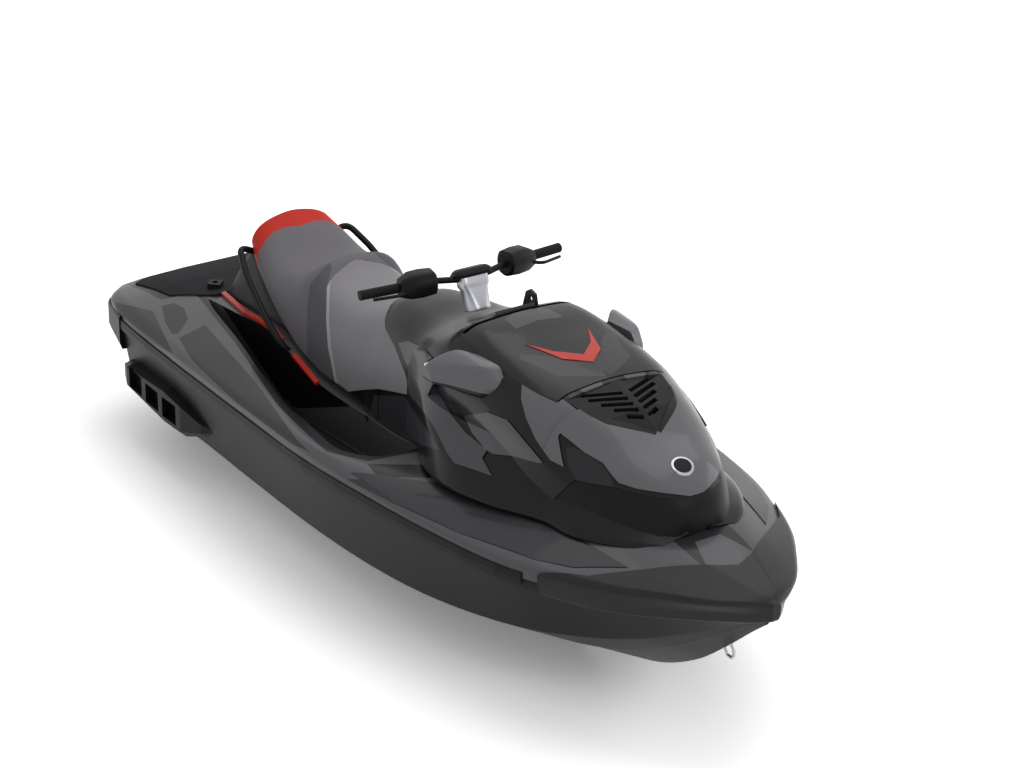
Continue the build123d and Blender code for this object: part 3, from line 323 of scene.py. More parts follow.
class Graph:
    """Node graph of one material."""

    def __init__(self, name: str) -> None:
        self.material = bpy.data.materials.new(name)
        self.material.use_nodes = True
        self.tree = self.material.node_tree
        self.tree.nodes.clear()
        self.views: dict[View, Wire] = {}

    def node(
        self, kind: str, settings: dict[str, Any] | None = None, sockets: dict[Any, Any] | None = None
    ) -> bpy.types.Node:
        """A node of one type, with its settings made first and its sockets filled or linked after them.

        Args:
            kind: The node's type.
            settings: Attributes of the node.
            sockets: Values or wires by input name or number.

        Returns:
            The new node.
        """
        made = self.tree.nodes.new(kind)
        for key, value in (settings or {}).items():
            setattr(made, key, value)
        for key, value in (sockets or {}).items():
            if isinstance(value, Wire):
                self.tree.links.new(value.socket, made.inputs[key])
            else:
                made.inputs[key].default_value = value
        return made

    def wire(self, node: bpy.types.Node, output: Any = 0) -> Wire:
        """One output of a node."""
        return Wire(self, node.outputs[output])

    def mix(self, first: Any, second: Any, share: Any) -> Wire:
        """The first colour turning into the second as the share goes from 0 to 1."""
        made = self.node("ShaderNodeMix", {"data_type": "RGBA"}, {0: share, 6: first, 7: second})
        return self.wire(made, 2)

    def noise(self, scale: float, detail: float = 3.0) -> Wire:
        """Noise in object coordinates, at a number of lumps a metre."""
        coordinates = self.wire(self.node("ShaderNodeTexCoord"), "Object")
        sockets = {"Vector": coordinates, "Scale": scale, "Detail": detail}
        return self.wire(self.node("ShaderNodeTexNoise", None, sockets))

    def dot(self, vector: Wire, weights: Sequence[float]) -> Wire:
        """Dot product of a vector with constant weights."""
        sockets = {0: vector, 1: tuple(float(w) for w in weights)}
        return self.wire(self.node("ShaderNodeVectorMath", {"operation": "DOT_PRODUCT"}, sockets), "Value")

    def vector(self, first: Any, second: Any, third: Any) -> Wire:
        """A vector of three values."""
        return self.wire(self.node("ShaderNodeCombineXYZ", None, {0: first, 1: second, 2: third}))

    def flat_place(self, view: View) -> Wire:
        """The two coordinates of a view, with 1 in the third place."""
        if view not in self.views:
            coordinates = self.wire(self.node("ShaderNodeTexCoord"), "Object")
            apart = self.node("ShaderNodeSeparateXYZ", None, {0: coordinates})
            along, across, up = (self.wire(apart, k) for k in range(3))
            if view is View.QUARTER:
                starboard = self.vector(along, abs(across) * -1.0, up)
                right, rise, back = (
                    self.dot(starboard, axis) - float(np.dot(axis, SHOT.position)) for axis in SHOT.axes()
                )
                depth = back * -1.0
                first = SHOT.middle[0] + right / depth * SHOT.focal
                second = SHOT.middle[1] - rise / depth * SHOT.focal
            else:
                first, second = (along, abs(across)) if view is View.PLAN else (along, up)
            self.views[view] = self.vector(first, second, 1.0)
        return self.views[view]

    def inside(self, outline: Outline, view: View) -> Wire:
        """1 inside an outline and 0 outside: inside its hull and in no pocket between hull and outline."""
        points = np.asarray(outline, float)
        if view is not View.QUARTER:
            points = (points - (ORIGIN_STATION, 0 if view is View.PLAN else DRAFT)) * MM
        return self._inside(points, view)

    def _inside(self, points: np.ndarray, view: View) -> Wire:
        """The least distance in from the hull's sides is over 0, times 1 less each pocket's own result."""
        rim = hull_rim(points)
        middle = points[rim].mean(axis=0)
        depth: Wire | None = None
        for start, end in zip(points[rim], np.roll(points[rim], -1, axis=0)):
            run = end - start
            normal = np.array((-run[1], run[0])) / np.hypot(*run)
            if np.dot(normal, middle - start) < 0:
                normal = -normal
            distance = self.dot(self.flat_place(view), (normal[0], normal[1], -np.dot(normal, start)))
            depth = distance if depth is None else depth.least(distance)
        share = depth > 0.0
        for first, last in zip(rim, rim[1:] + rim[:1]):
            count = (last - first) % len(points)
            if count > 1:
                pocket = points[[(first + k) % len(points) for k in range(count + 1)]]
                share = share * (1.0 - self._inside(pocket, view))
        return share


STRAIGHT = 1e-12


def hull_rim(points: np.ndarray) -> list[int]:
    """Places in the outline of the points on its convex hull, in the outline's order."""
    order = sorted(range(len(points)), key=lambda k: (points[k][0], points[k][1]))
    rim: set[int] = set()
    for chain in (order, order[::-1]):
        kept: list[int] = []
        for k in chain:
            while len(kept) > 1 and turn_of(points[kept[-2]], points[kept[-1]], points[k]) <= STRAIGHT:
                kept.pop()
            kept.append(k)
        rim.update(kept)
    return sorted(rim)


def turn_of(first: np.ndarray, second: np.ndarray, third: np.ndarray) -> float:
    """Twice the signed area of a triangle."""
    near, far = second - first, third - first
    return float(near[0] * far[1] - near[1] * far[0])


class Palette:
    """The materials, made once each from their finishes."""

    COAT_ROUGHNESS = 0.06
    BUMP = 0.6
    MOTTLE_SCALE = 7.0

    def __init__(self) -> None:
        self.made: dict[str, bpy.types.Material] = {}

    def material(self, name: str, finish: Finish) -> bpy.types.Material:
        """The material of a finish."""
        if name not in self.made:
            self.made[name] = self._build(name, finish)
        return self.made[name]

    def _build(self, name: str, finish: Finish) -> bpy.types.Material:
        """A Principled shader with the finish's values, its colour and, where it has relief, its grain."""
        graph = Graph(name)
        colour = self._painted(graph, finish)
        sockets: dict[str, Any] = {
            "Base Color": colour,
            "Metallic": finish.metallic,
            "Coat Weight": finish.coat,
            "Coat Roughness": self.COAT_ROUGHNESS,
            "Roughness": finish.roughness,
            "Specular IOR Level": finish.specular,
        }
        if finish.relief:
            height = graph.noise(finish.grain, 2.0)
            bump = {"Strength": self.BUMP, "Distance": finish.relief, "Height": height}
            sockets["Normal"] = graph.wire(graph.node("ShaderNodeBump", None, bump))
        shader = graph.node("ShaderNodeBsdfPrincipled", None, sockets)
        graph.node("ShaderNodeOutputMaterial", None, {"Surface": graph.wire(shader)})
        return graph.material

    def _painted(self, graph: Graph, finish: Finish) -> Wire:
        """Base colour with its zones, varied a little by slow noise."""
        base = linear(finish.colour)
        darker = tuple(v * (1 - finish.mottle) for v in base[:3]) + (1.0,)
        colour = graph.mix(base, darker, graph.noise(self.MOTTLE_SCALE))
        for zone in finish.zones:
            colour = graph.mix(colour, linear(zone.colour), graph.inside(zone.outline, zone.view))
        return colour


LIGHT_GREY = (86, 85, 88)
HOOD_GREY = (100, 100, 103)
FACET_GREY = (50, 48, 52)
BLACK = (23, 21, 24)
WELL_BLACK = (22, 21, 24)
RED = (190, 48, 36)
PAST_CENTRE = -50

# Painted areas of the hood, the cover, the deck, the bow guard, the seats and the foot wells
HOOD_SIDE = Zone(HOOD_GREY, (
    (522, 380), (527, 378), (536, 383), (552, 394), (573, 405), (590, 416), (606, 424), (629, 429),
    (648, 433), (656, 435), (660, 418), (658, 400), (648, 381), (622, 359), (651, 360), (682, 402),
    (712, 450), (709, 479), (701, 493), (690, 496), (664, 493), (638, 489), (619, 483), (611, 474),
    (603, 463), (584, 452), (568, 439), (560, 433), (558, 437), (562, 460), (564, 467), (550, 460),
    (536, 440), (526, 418), (521, 399),
), View.QUARTER)
GRILLE_LIP = Zone((84, 83, 86), (
    (558, 382), (600, 381), (617, 398), (603, 398), (589, 394), (576, 389), (566, 386),
), View.QUARTER)
GRILLE_FLANK = Zone((56, 55, 58), (
    (564, 392), (589, 394), (622, 402), (632, 408), (648, 423), (610, 412), (594, 408), (574, 402),
), View.QUARTER)
NOSE_POCKET = Zone((42, 41, 44), (
    (566, 448), (573, 447), (600, 460), (610, 477), (614, 487), (613, 492), (590, 484), (576, 480),
    (568, 464),
), View.QUARTER)
FAIRING_STRIP = Zone((74, 73, 77), (
    (398, 343), (409, 341), (424, 349), (432, 358), (423, 364), (426, 374), (440, 380), (434, 387),
    (443, 400), (449, 412), (466, 433), (487, 450), (482, 458), (492, 476), (475, 470), (454, 463),
    (447, 453), (434, 427), (426, 415), (409, 394), (407, 366),
), View.QUARTER)
FAIRING_HOLLOW = Zone((56, 55, 58), (
    (434, 387), (449, 384), (475, 394), (490, 410), (478, 414), (464, 416), (454, 412), (444, 401),
), View.QUARTER)
FAIRING_FACET = Zone((86, 85, 88), (
    (464, 416), (487, 412), (507, 420), (543, 463), (538, 463), (512, 456), (493, 454), (486, 450),
    (472, 433),
), View.QUARTER)
KNEE_FACET = Zone((56, 55, 59), (
    (374, 395), (404, 396), (440, 450), (421, 445), (369, 417),
), View.QUARTER)
LID_CORNER = Zone((70, 69, 72), (
    (505, 319), (525, 305), (542, 304), (545, 317), (516, 329),
), View.QUARTER)
LID_VENT = Zone((32, 32, 34), (
    (544, 322), (568, 328), (576, 328), (589, 338), (593, 343), (586, 353), (573, 343), (549, 336),
), View.QUARTER)
LID_FRONT = Zone((54, 53, 56), (
    (520, 354), (544, 356), (568, 361), (594, 362), (603, 370), (606, 376), (557, 376), (539, 367),
    (520, 359),
), View.QUARTER)
FOREDECK_PANEL = Zone(FACET_GREY, (
    (346, 479), (496, 484), (576, 536), (628, 568), (573, 568), (535, 560), (458, 533), (394, 504),
), View.QUARTER)
BOW_INNER = Zone((80, 79, 83), ((586, 501), (656, 526), (701, 566), (644, 572), (612, 533)), View.QUARTER)
BOW_SHADE = Zone((42, 41, 44), (
    (656, 526), (711, 530), (714, 542), (695, 542), (706, 565), (701, 565),
), View.QUARTER)
BOW_TIP = Zone((86, 85, 88), ((695, 542), (714, 536), (724, 546), (749, 564), (708, 566)), View.QUARTER)
BOW_CROWN = Zone((66, 65, 68), (
    (719, 488), (730, 485), (772, 523), (749, 564), (727, 546), (714, 533),
), View.QUARTER)
BOW_SLIT = Zone((34, 33, 36), ((725, 491), (738, 494), (738, 514), (728, 509)), View.QUARTER)
KNEE_PAD = Zone(BLACK, ((367, 464), (453, 465), (453, 469), (445, 478), (378, 477)), View.QUARTER)
STERN_FACET = Zone((48, 47, 50), (
    (115, 302), (153, 311), (173, 354), (157, 346), (117, 323),
), View.QUARTER)
STERN_RECESS = Zone((40, 39, 42), (
    (162, 306), (174, 303), (184, 308), (188, 319), (183, 327), (178, 334), (172, 334), (165, 322),
), View.QUARTER)
WELL_SHOULDER = Zone((44, 43, 46), (
    (179, 338), (205, 325), (255, 381), (297, 440), (310, 452), (292, 444), (238, 404), (209, 377),
    (191, 359),
), View.QUARTER)
CAP_WEDGE = Zone((34, 33, 36), ((580, 579), (637, 574), (660, 578), (695, 602), (679, 600)), View.QUARTER)
CAP_POINT = Zone((40, 39, 42), ((749, 563), (772, 522), (804, 549), (800, 568), (778, 602)), View.QUARTER)
SEAT_EDGE = Zone(RED, (
    (249, 275), (246, 240), (254, 213), (270, 203), (297, 201), (318, 212), (337, 232), (323, 229),
    (305, 225), (286, 227), (273, 232), (266, 240), (258, 253), (257, 273),
), View.QUARTER)
BOLSTER = Zone((88, 86, 90), (
    (329, 263), (322, 269), (310, 285), (307, 307), (307, 359), (315, 372), (337, 393), (329, 347),
    (326, 320), (327, 285), (332, 267),
), View.QUARTER)
# The seat's piping, lightened into a painted highlight along its edge.
PIPING_HIGHLIGHT = Zone((168, 166, 170), (
    (332, 267), (343, 259), (358, 255), (371, 255), (381, 257), (381, 258), (371, 256), (358, 257),
    (345, 260), (334, 267), (330, 285), (329, 320), (331, 347), (339, 393), (337, 393), (328, 347),
    (326, 320), (327, 285),
), View.QUARTER)
WELL_INSIDE = Zone(WELL_BLACK, (
    (338, 276), (1000, 262), (1500, 236), (1940, 282), (1936, 500), (1800, 578), (1380, 520),
    (1052, 436),
))
PLATFORM = Zone((38, 37, 40), (
    (0, PAST_CENTRE), (0, 392), (300, 392), (357, 289), (480, 258), (480, PAST_CENTRE),
))

BODY_PAINT = (
    HOOD_SIDE, GRILLE_LIP, GRILLE_FLANK, NOSE_POCKET, FAIRING_STRIP, FAIRING_HOLLOW, FAIRING_FACET,
    KNEE_FACET,
)
LID_PAINT = (LID_CORNER, LID_VENT, LID_FRONT)
DECK_PAINT = (
    FOREDECK_PANEL, BOW_INNER, BOW_SHADE, BOW_TIP, BOW_CROWN, BOW_SLIT, KNEE_PAD, STERN_FACET, STERN_RECESS,
    WELL_SHOULDER, WELL_INSIDE, PLATFORM,
)
CAP_PAINT = (CAP_WEDGE, CAP_POINT)

FINISHES: dict[Slot, Finish] = {
    Slot.HULL: Finish((28, 26, 29), 0.42),
    Slot.DECK: Finish(LIGHT_GREY, 0.3, coat=0.15, zones=DECK_PAINT),
    Slot.TRIM: Finish(BLACK, 0.42, relief=0.00008),
    Slot.ENGINE: Finish((60, 60, 62), 0.5, relief=0.0001),
    # The driver's seat, with the painted highlight along its piping.
    Slot.SEAT: Finish((138, 136, 139), 0.5, relief=0.0002, zones=(BOLSTER, PIPING_HIGHLIGHT)),
    Slot.SEAT_REAR: Finish((108, 106, 110), 0.5, relief=0.0002, zones=(SEAT_EDGE, BOLSTER)),
    Slot.GREY: Finish(HOOD_GREY, 0.28, coat=0.2),
    Slot.DARK: Finish(LIGHT_GREY, 0.32, coat=0.15, zones=DECK_PAINT),
    Slot.RED: Finish(RED, 0.35, coat=0.3),
    Slot.MAT: Finish((34, 33, 36), 0.8, grain=260, relief=0.0012),
    Slot.GRIP: Finish((26, 25, 27), 0.6, relief=0.0002),
    Slot.STEEL: Finish((170, 172, 176), 0.25, metallic=1.0, mottle=0.1),
    Slot.ALLOY: Finish((176, 178, 184), 0.32, metallic=0.9, mottle=0.1),
    Slot.MIRROR: Finish((200, 204, 210), 0.05, metallic=1.0),
    Slot.SCREEN: Finish((16, 17, 20), 0.12, coat=0.8),
}
BODY_FINISH = Finish(BLACK, 0.3, coat=0.1, zones=BODY_PAINT)
PANEL_FINISH = Finish(HOOD_GREY, 0.26, coat=0.25)
CAP_FINISH = Finish((38, 37, 40), 0.35, coat=0.1, zones=CAP_PAINT)
LID_FINISH = Finish((29, 28, 31), 0.26, coat=0.15, zones=LID_PAINT)


# Meshes


@dataclass(frozen=True)
class Lines:
    """Half sections by station, each a row of points of breadth and height from foot to crown."""

    rows: dict[int, tuple[tuple[float, float], ...]]

    def at(self, stations: np.ndarray) -> np.ndarray:
        """Rows at any stations, on cubic curves whose slope at a row is the slope between its neighbours.

        Args:
            stations: Stations in millimetres.

        Returns:
            An array of stations by points by two.
        """
        knots = np.array(sorted(self.rows), float)
        values = np.array([self.rows[int(k)] for k in knots], float)
        flat = values.reshape(len(knots), -1)
        slopes = np.empty_like(flat)
        slopes[1:-1] = (flat[2:] - flat[:-2]) / (knots[2:] - knots[:-2])[:, None]
        slopes[0] = (flat[1] - flat[0]) / (knots[1] - knots[0])
        slopes[-1] = (flat[-1] - flat[-2]) / (knots[-1] - knots[-2])
        bay = np.clip(np.searchsorted(knots, stations, side="right") - 1, 0, len(knots) - 2)
        length = (knots[bay + 1] - knots[bay])[:, None]
        share = (np.asarray(stations, float)[:, None] - knots[bay][:, None]) / length
        square, cube = share**2, share**3
        start = (2 * cube - 3 * square + 1) * flat[bay] + (3 * square - 2 * cube) * flat[bay + 1]
        turn = (cube - 2 * square + share) * slopes[bay] + (cube - square) * slopes[bay + 1]
        return (start + length * turn).reshape(len(bay), -1, 2)

    def moved(self, out: float, up: float) -> "Lines":
        """The lines moved outwards and upwards."""
        rows = self.rows.items()
        return Lines({station: tuple((y + out if y else 0, h + up) for y, h in row) for station, row in rows})

    def stations(self, step: float, rear: float | None = None, front: float | None = None) -> np.ndarray:
        """The table's own stations and more between them, no more than a step apart."""
        knots = [float(k) for k in sorted(self.rows)]
        rear = knots[0] if rear is None else rear
        front = knots[-1] if front is None else front
        marks = [rear, *(k for k in knots if rear < k < front), front]
        bays = zip(marks, marks[1:])
        parts = [np.linspace(a, b, max(2, math.ceil((b - a) / step) + 1))[:-1] for a, b in bays]
        return np.concatenate([*parts, [front]])


# Longest step between stations in millimetres, the share of a side that a rounded corner may take, a length
# near nothing, and the angles in degrees past which an edge stays sharp or is bevelled.
STATION_STEP = 24.0
LONGEST_CUT = 0.45
TINY = 1e-6
SHARP = 32.0
SHARP_BEVELLED = 50.0
BEVEL_ANGLE = 35.0
BEVEL_PARTS = 3


def softened(rings: np.ndarray, radii: Sequence[float], steps: int = 4) -> np.ndarray:
    """Closed rings with each corner turned into a parabola that starts a radius away along both sides.

    Args:
        rings: Rings by points by two or three.
        radii: The distance for each point.
        steps: Parts of each parabola, an even number.

    Returns:
        Rings whose first point is in the middle of the first corner.
    """
    before, after = np.roll(rings, 1, axis=1) - rings, np.roll(rings, -1, axis=1) - rings
    ends = []
    for side in (before, after):
        length = np.linalg.norm(side, axis=2, keepdims=True)
        reach = np.minimum(np.asarray(radii, float)[None, :, None], LONGEST_CUT * length)
        ends.append(rings + side / np.maximum(length, TINY) * reach)
    share = np.linspace(0, 1, steps + 1)[None, None, :, None]
    curve = (1 - share) ** 2 * ends[0][:, :, None] + 2 * share * (1 - share) * rings[:, :, None]
    curve = curve + share**2 * ends[1][:, :, None]
    flat = curve.reshape(rings.shape[0], -1, rings.shape[2])
    return np.roll(flat, -(steps // 2), axis=1)


def whole_rings(half: np.ndarray, radii: Sequence[float], steps: int = 4) -> np.ndarray:
    """Closed symmetric rings from half sections that start and end on the centre line."""
    mirrored = half[:, -2:0:-1] * (-1, 1)
    rings = np.concatenate([half, mirrored], axis=1)
    return softened(rings, [*radii, *list(radii)[-2:0:-1]], steps)


def half_sections(rows: np.ndarray) -> np.ndarray:
    """Half sections closed to the centre line at foot and crown."""
    foot = rows[:, :1] * (0, 1)
    if np.allclose(rows[:, -1, 0], 0):
        return np.concatenate([foot, rows], axis=1)
    return np.concatenate([foot, rows, rows[:, -1:] * (0, 1)], axis=1)


def new_object(
    name: str, vertices: np.ndarray, faces: Iterable[Sequence[int]], angle: float = SHARP
) -> bpy.types.Object:
    """An object with smooth faces and sharp edges over an angle, its normals outwards."""
    mesh = bpy.data.meshes.new(name)
    mesh.from_pydata(np.asarray(vertices, float).tolist(), [], [list(map(int, face)) for face in faces])
    made = bpy.data.objects.new(name, mesh)
    bpy.context.scene.collection.objects.link(made)
    tidy(made, angle)
    return made


def tidy(piece: bpy.types.Object, angle: float = SHARP, weld: float = 0.00005) -> None:
    """Welds a mesh, turns its normals outwards and marks its sharp edges."""
    work = bmesh.new()
    work.from_mesh(piece.data)
    bmesh.ops.remove_doubles(work, verts=work.verts, dist=weld)
    bmesh.ops.dissolve_degenerate(work, edges=work.edges, dist=weld)
    loose = [v for v in work.verts if not v.link_faces]
    bmesh.ops.delete(work, geom=loose, context="VERTS")
    bmesh.ops.recalc_face_normals(work, faces=work.faces)
    work.to_mesh(piece.data)
    work.free()
    piece.data.shade_smooth()
    piece.data.set_sharp_from_angle(angle=math.radians(angle))


def shell(
    name: str, lines: Lines, radii: Sequence[float], rear: float | None = None, front: float | None = None
) -> bpy.types.Object:
    """A closed symmetric solid through faired lines with rounded corners."""
    stations = lines.stations(STATION_STEP, rear, front)
    return skin(name, stations, half_sections(lines.at(stations)), radii)


def skin(name: str, stations: np.ndarray, half: np.ndarray, radii: Sequence[float]) -> bpy.types.Object:
    """A closed symmetric solid through half sections at stations."""
    rings = whole_rings(half, radii)
    along = np.broadcast_to(stations[:, None, None], (*rings.shape[:2], 1))
    points = place(np.concatenate([along, rings], axis=2)).reshape(-1, 3)
    return new_object(name, points, capped(rings.shape[0], rings.shape[1]))


def capped(rings: int, around: int) -> list[Sequence[int]]:
    """Faces of a skin over rings of points: quads between neighbours and one face over each end."""
    index = np.arange(rings * around).reshape(rings, around)
    following = np.roll(index, -1, axis=1)
    quads = np.stack([index[:-1], following[:-1], following[1:], index[1:]], axis=-1).reshape(-1, 4)
    return [*quads.tolist(), index[0].tolist(), index[-1].tolist()]


def both_sides(name: str, points: np.ndarray, faces: Sequence[Sequence[int]]) -> bpy.types.Object:
    """A solid of points in metres and its mirror image across the centre line, in one object."""
    far = [[corner + len(points) for corner in face] for face in faces]
    return new_object(name, np.concatenate([points, points * (1, -1, 1)]), [*faces, *far])


def side_skin(name: str, sections: dict[int, Outline], radius: float) -> bpy.types.Object:
    """A closed solid through rounded port sections by station, and its mirror image."""
    lines = Lines({s: tuple(row) for s, row in sections.items()})
    stations = lines.stations(STATION_STEP)
    rows = softened(lines.at(stations), [radius] * len(next(iter(sections.values()))))
    along = np.broadcast_to(stations[:, None, None], (*rows.shape[:2], 1))
    points = place(np.concatenate([along, rows], axis=2).reshape(-1, 3))
    return both_sides(name, points, capped(*rows.shape[:2]))


def prism(name: str, outline: Outline, near: float, far: float, view: View) -> bpy.types.Object:
    """A straight prism: an outline in plan between two heights, or in side view between two breadths."""
    flat = np.asarray(outline, float)
    order = (0, 1, 2) if view is View.PLAN else (0, 2, 1)
    rings = [np.column_stack([flat, np.full(len(flat), level)])[:, order] for level in (near, far)]
    return new_object(name, place(np.concatenate(rings)), capped(2, len(flat)))


def block(name: str, low: Sequence[float], high: Sequence[float]) -> bpy.types.Object:
    """A box between two corners of station, breadth and height."""
    outline = ((low[0], low[1]), (high[0], low[1]), (high[0], high[1]), (low[0], high[1]))
    return prism(name, outline, low[2], high[2], View.PLAN)


def mirrored(outline: Outline) -> list[tuple[float, float]]:
    """An outline on the port side closed across the centre line."""
    return [*outline, *((s, -y) for s, y in reversed(outline) if y)]


def apply_modifiers(piece: bpy.types.Object) -> None:
    """The object's mesh as its modifiers make it."""
    graph = bpy.context.evaluated_depsgraph_get()
    mesh = bpy.data.meshes.new_from_object(piece.evaluated_get(graph))
    old = piece.data
    piece.modifiers.clear()
    piece.data = mesh
    bpy.data.meshes.remove(old)


def drop(piece: bpy.types.Object) -> None:
    """Removes an object and its mesh."""
    mesh = piece.data
    bpy.data.objects.remove(piece)
    bpy.data.meshes.remove(mesh)


def carve(
    piece: bpy.types.Object, operation: str, *tools: bpy.types.Object, keep: bool = False,
    angle: float = SHARP,
) -> bpy.types.Object:
    """The piece after a Boolean with each tool, which is then removed unless it is kept."""
    for tool in tools:
        modifier = piece.modifiers.new("carve", "BOOLEAN")
        modifier.operation = operation
        modifier.solver = "EXACT"
        modifier.object = tool
    apply_modifiers(piece)
    tidy(piece, angle)
    if not keep:
        for tool in tools:
            drop(tool)
    return piece


def softer(piece: bpy.types.Object, width: float) -> bpy.types.Object:
    """The piece with its sharp edges rounded over a width in millimetres."""
    modifier = piece.modifiers.new("edge", "BEVEL")
    modifier.width = width * MM
    modifier.segments = BEVEL_PARTS
    modifier.limit_method = "ANGLE"
    modifier.angle_limit = math.radians(BEVEL_ANGLE)
    apply_modifiers(piece)
    piece.data.shade_smooth()
    piece.data.set_sharp_from_angle(angle=math.radians(SHARP_BEVELLED))
    return piece


def arrays(piece: bpy.types.Object) -> tuple[np.ndarray, list[np.ndarray]]:
    """A mesh's points, and the numbers of the points round each of its faces."""
    mesh = piece.data
    points = np.empty(len(mesh.vertices) * 3)
    mesh.vertices.foreach_get("co", points)
    corners = np.empty(len(mesh.loops), np.int32)
    mesh.loops.foreach_get("vertex_index", corners)
    starts = np.empty(len(mesh.polygons), np.int32)
    mesh.polygons.foreach_get("loop_start", starts)
    return points.reshape(-1, 3), np.split(corners, starts[1:])


def together(name: str, *pieces: bpy.types.Object) -> bpy.types.Object:
    """Several objects as one."""
    vertices, faces, start = [], [], 0
    for piece in pieces:
        points, rings = arrays(piece)
        vertices.append(points)
        faces += [ring + start for ring in rings]
        start += len(points)
        drop(piece)
    return new_object(name, np.concatenate(vertices), faces)


def sight_prism(name: str, outline: Outline, near: float, far: float) -> bpy.types.Object:
    """The space behind an outline in the picture, between two depths in metres."""
    right, up, back = SHOT.axes()
    points = (np.asarray(outline, float) - SHOT.middle) / SHOT.focal
    rays = points[:, :1] * right - points[:, 1:] * up - back
    rings = [np.asarray(SHOT.position) + rays * depth for depth in (near, far)]
    return new_object(name, np.concatenate(rings), capped(2, len(points)))


# Two corners of a box round all of the craft that lies to starboard
STARBOARD_SPACE = ((-100, -700, -100), (3600, 0, 1400))


def plate(
    name: str, outline: Outline, outer: bpy.types.Object, inner: bpy.types.Object, depths: tuple[float, float]
) -> bpy.types.Object:
    """A plate between two skins inside an outline in the picture, on both sides of the craft.

    Args:
        name: Name of the plate.
        outline: Outline in the picture, for the starboard side.
        outer: The outer skin, which becomes the plate.
        inner: The inner skin.
        depths: Nearest and furthest depth in metres.

    Returns:
        The plate and its mirror image in one object.
    """
    half = block("half", *STARBOARD_SPACE)
    carve(outer, "INTERSECT", half, sight_prism("sight", outline, *depths))
    carve(outer, "DIFFERENCE", inner)
    points, faces = arrays(outer)
    drop(outer)
    return both_sides(name, points, [face for face in faces if np.abs(points[face, 1]).max() >= TINY])


# A direction that no bar starts along
ASKEW = (0.31, 0.17, 0.93)


def pipe(name: str, path: np.ndarray, radii: float | np.ndarray, around: int = 20) -> bpy.types.Object:
    """A round bar along a path in metres, its frame carried along without twist.

    Args:
        name: Name of the object.
        path: Points by three.
        radii: Radius, or one for each point.
        around: Points round the bar.

    Returns:
        The bar.
    """
    tangents = np.gradient(path, axis=0)
    tangents /= np.linalg.norm(tangents, axis=1, keepdims=True)
    normal = np.cross(tangents[0], ASKEW)
    frames = []
    for tangent in tangents:
        normal = normal - tangent * np.dot(normal, tangent)
        normal /= np.linalg.norm(normal)
        frames.append((normal, np.cross(tangent, normal)))
    first, second = (np.array([f[k] for f in frames])[:, None, :] for k in (0, 1))
    turn = np.linspace(0, 2 * np.pi, around, endpoint=False)[None, :, None]
    radius = np.broadcast_to(np.asarray(radii, float), (len(path),))[:, None, None]
    rings = path[:, None, :] + radius * (np.cos(turn) * first + np.sin(turn) * second)
    return new_object(name, rings.reshape(-1, 3), capped(len(path), around))


def rounded_bar(points: Sequence[Sequence[float]], cut: float, each: int = 8) -> np.ndarray:
    """A path in metres along straight runs, with each inner corner a parabola over a distance."""
    corners = place(points)
    path = [corners[:1]]
    share = np.linspace(0, 1, each + 1)[:, None]
    for before, corner, after in zip(corners, corners[1:], corners[2:]):
        ends = []
        for other in (before, after):
            run = other - corner
            length = np.linalg.norm(run)
            ends.append(corner + run / length * min(cut * MM, LONGEST_CUT * length))
        path.append((1 - share) ** 2 * ends[0] + 2 * share * (1 - share) * corner + share**2 * ends[1])
    return np.concatenate([*path, corners[-1:]])


# Sub-assemblies


class SubAssembly:
    """Pieces that are built together and then finished."""

    def __init__(self, palette: Palette) -> None:
        self.palette = palette
        self.pieces: list[tuple[bpy.types.Object, Slot, str, tuple[str, ...], Finish | None]] = []

    def keep(
        self, piece: bpy.types.Object, slot: Slot, nodes: Sequence[str], body: str = "craft",
        finish: Finish | None = None,
    ) -> None:
        """Notes a finished mesh with its slot, the CAD nodes it stands for and the body it rides on."""
        self.pieces.append((piece, slot, body, tuple(nodes), finish))

    def build(self) -> None:
        """Makes the meshes."""
        raise NotImplementedError

    def dress(self) -> None:
        """Gives every piece its material and ties it to the frame."""
        for piece, slot, body, nodes, finish in self.pieces:
            name = slot.value if finish is None else f"{slot.value}_{piece.name}"
            piece.data.materials.clear()
            piece.data.materials.append(self.palette.material(name, finish or FINISHES[slot]))
            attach(piece, body)
            if nodes:
                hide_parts(*nodes)
            LOG.info("%s on %s in %s", piece.name, body, slot.value)


# Corner radii in millimetres of the closed half sections, from the foot on the centre line to the crown
DECK_RADII = (1, 4, 14, 16, 40, 90, 60)
HULL_RADII = (6, 4, 4, 7, 8, 3, 1)
GUARD_RADII = (1, 8, 8, 12, 12, 10, 10, 1)
BODY_RADII = (1, 6, 34, 34, 44, 90)
SADDLE_RADII = (1, 14, 50, 60, 80, 120)
PEDESTAL_RADII = (1, 6, 40, 40, 1)


@dataclass
class HullForm:
    """Sizes of the hull's running surface and of what is cut from it."""

    strake_share: float = 0.56
    strake_step: float = 1.04
    rail_depth: float = 8
    rail_below: float = 16
    transom: float = 230
    tunnel_end: float = 560
    tunnel_radius: float = 118
    pump_height: float = 135
    bore_radius: float = 80
    intake_front: float = 1010
    well_floor: float = 318
    well_top: float = 640
    well_skin: float = 8
    well_corner: float = 50
    tub_lift: float = 3
    scoop_rise: float = 90
    scoop_fall: float = 12
    below: float = 80
    panel_lift: float = 3
    guard_rear: float = 2680
    guard_front: float = 3452
    guard_drop: float = 36
    guard_out: float = 9
    guard_up: float = 7


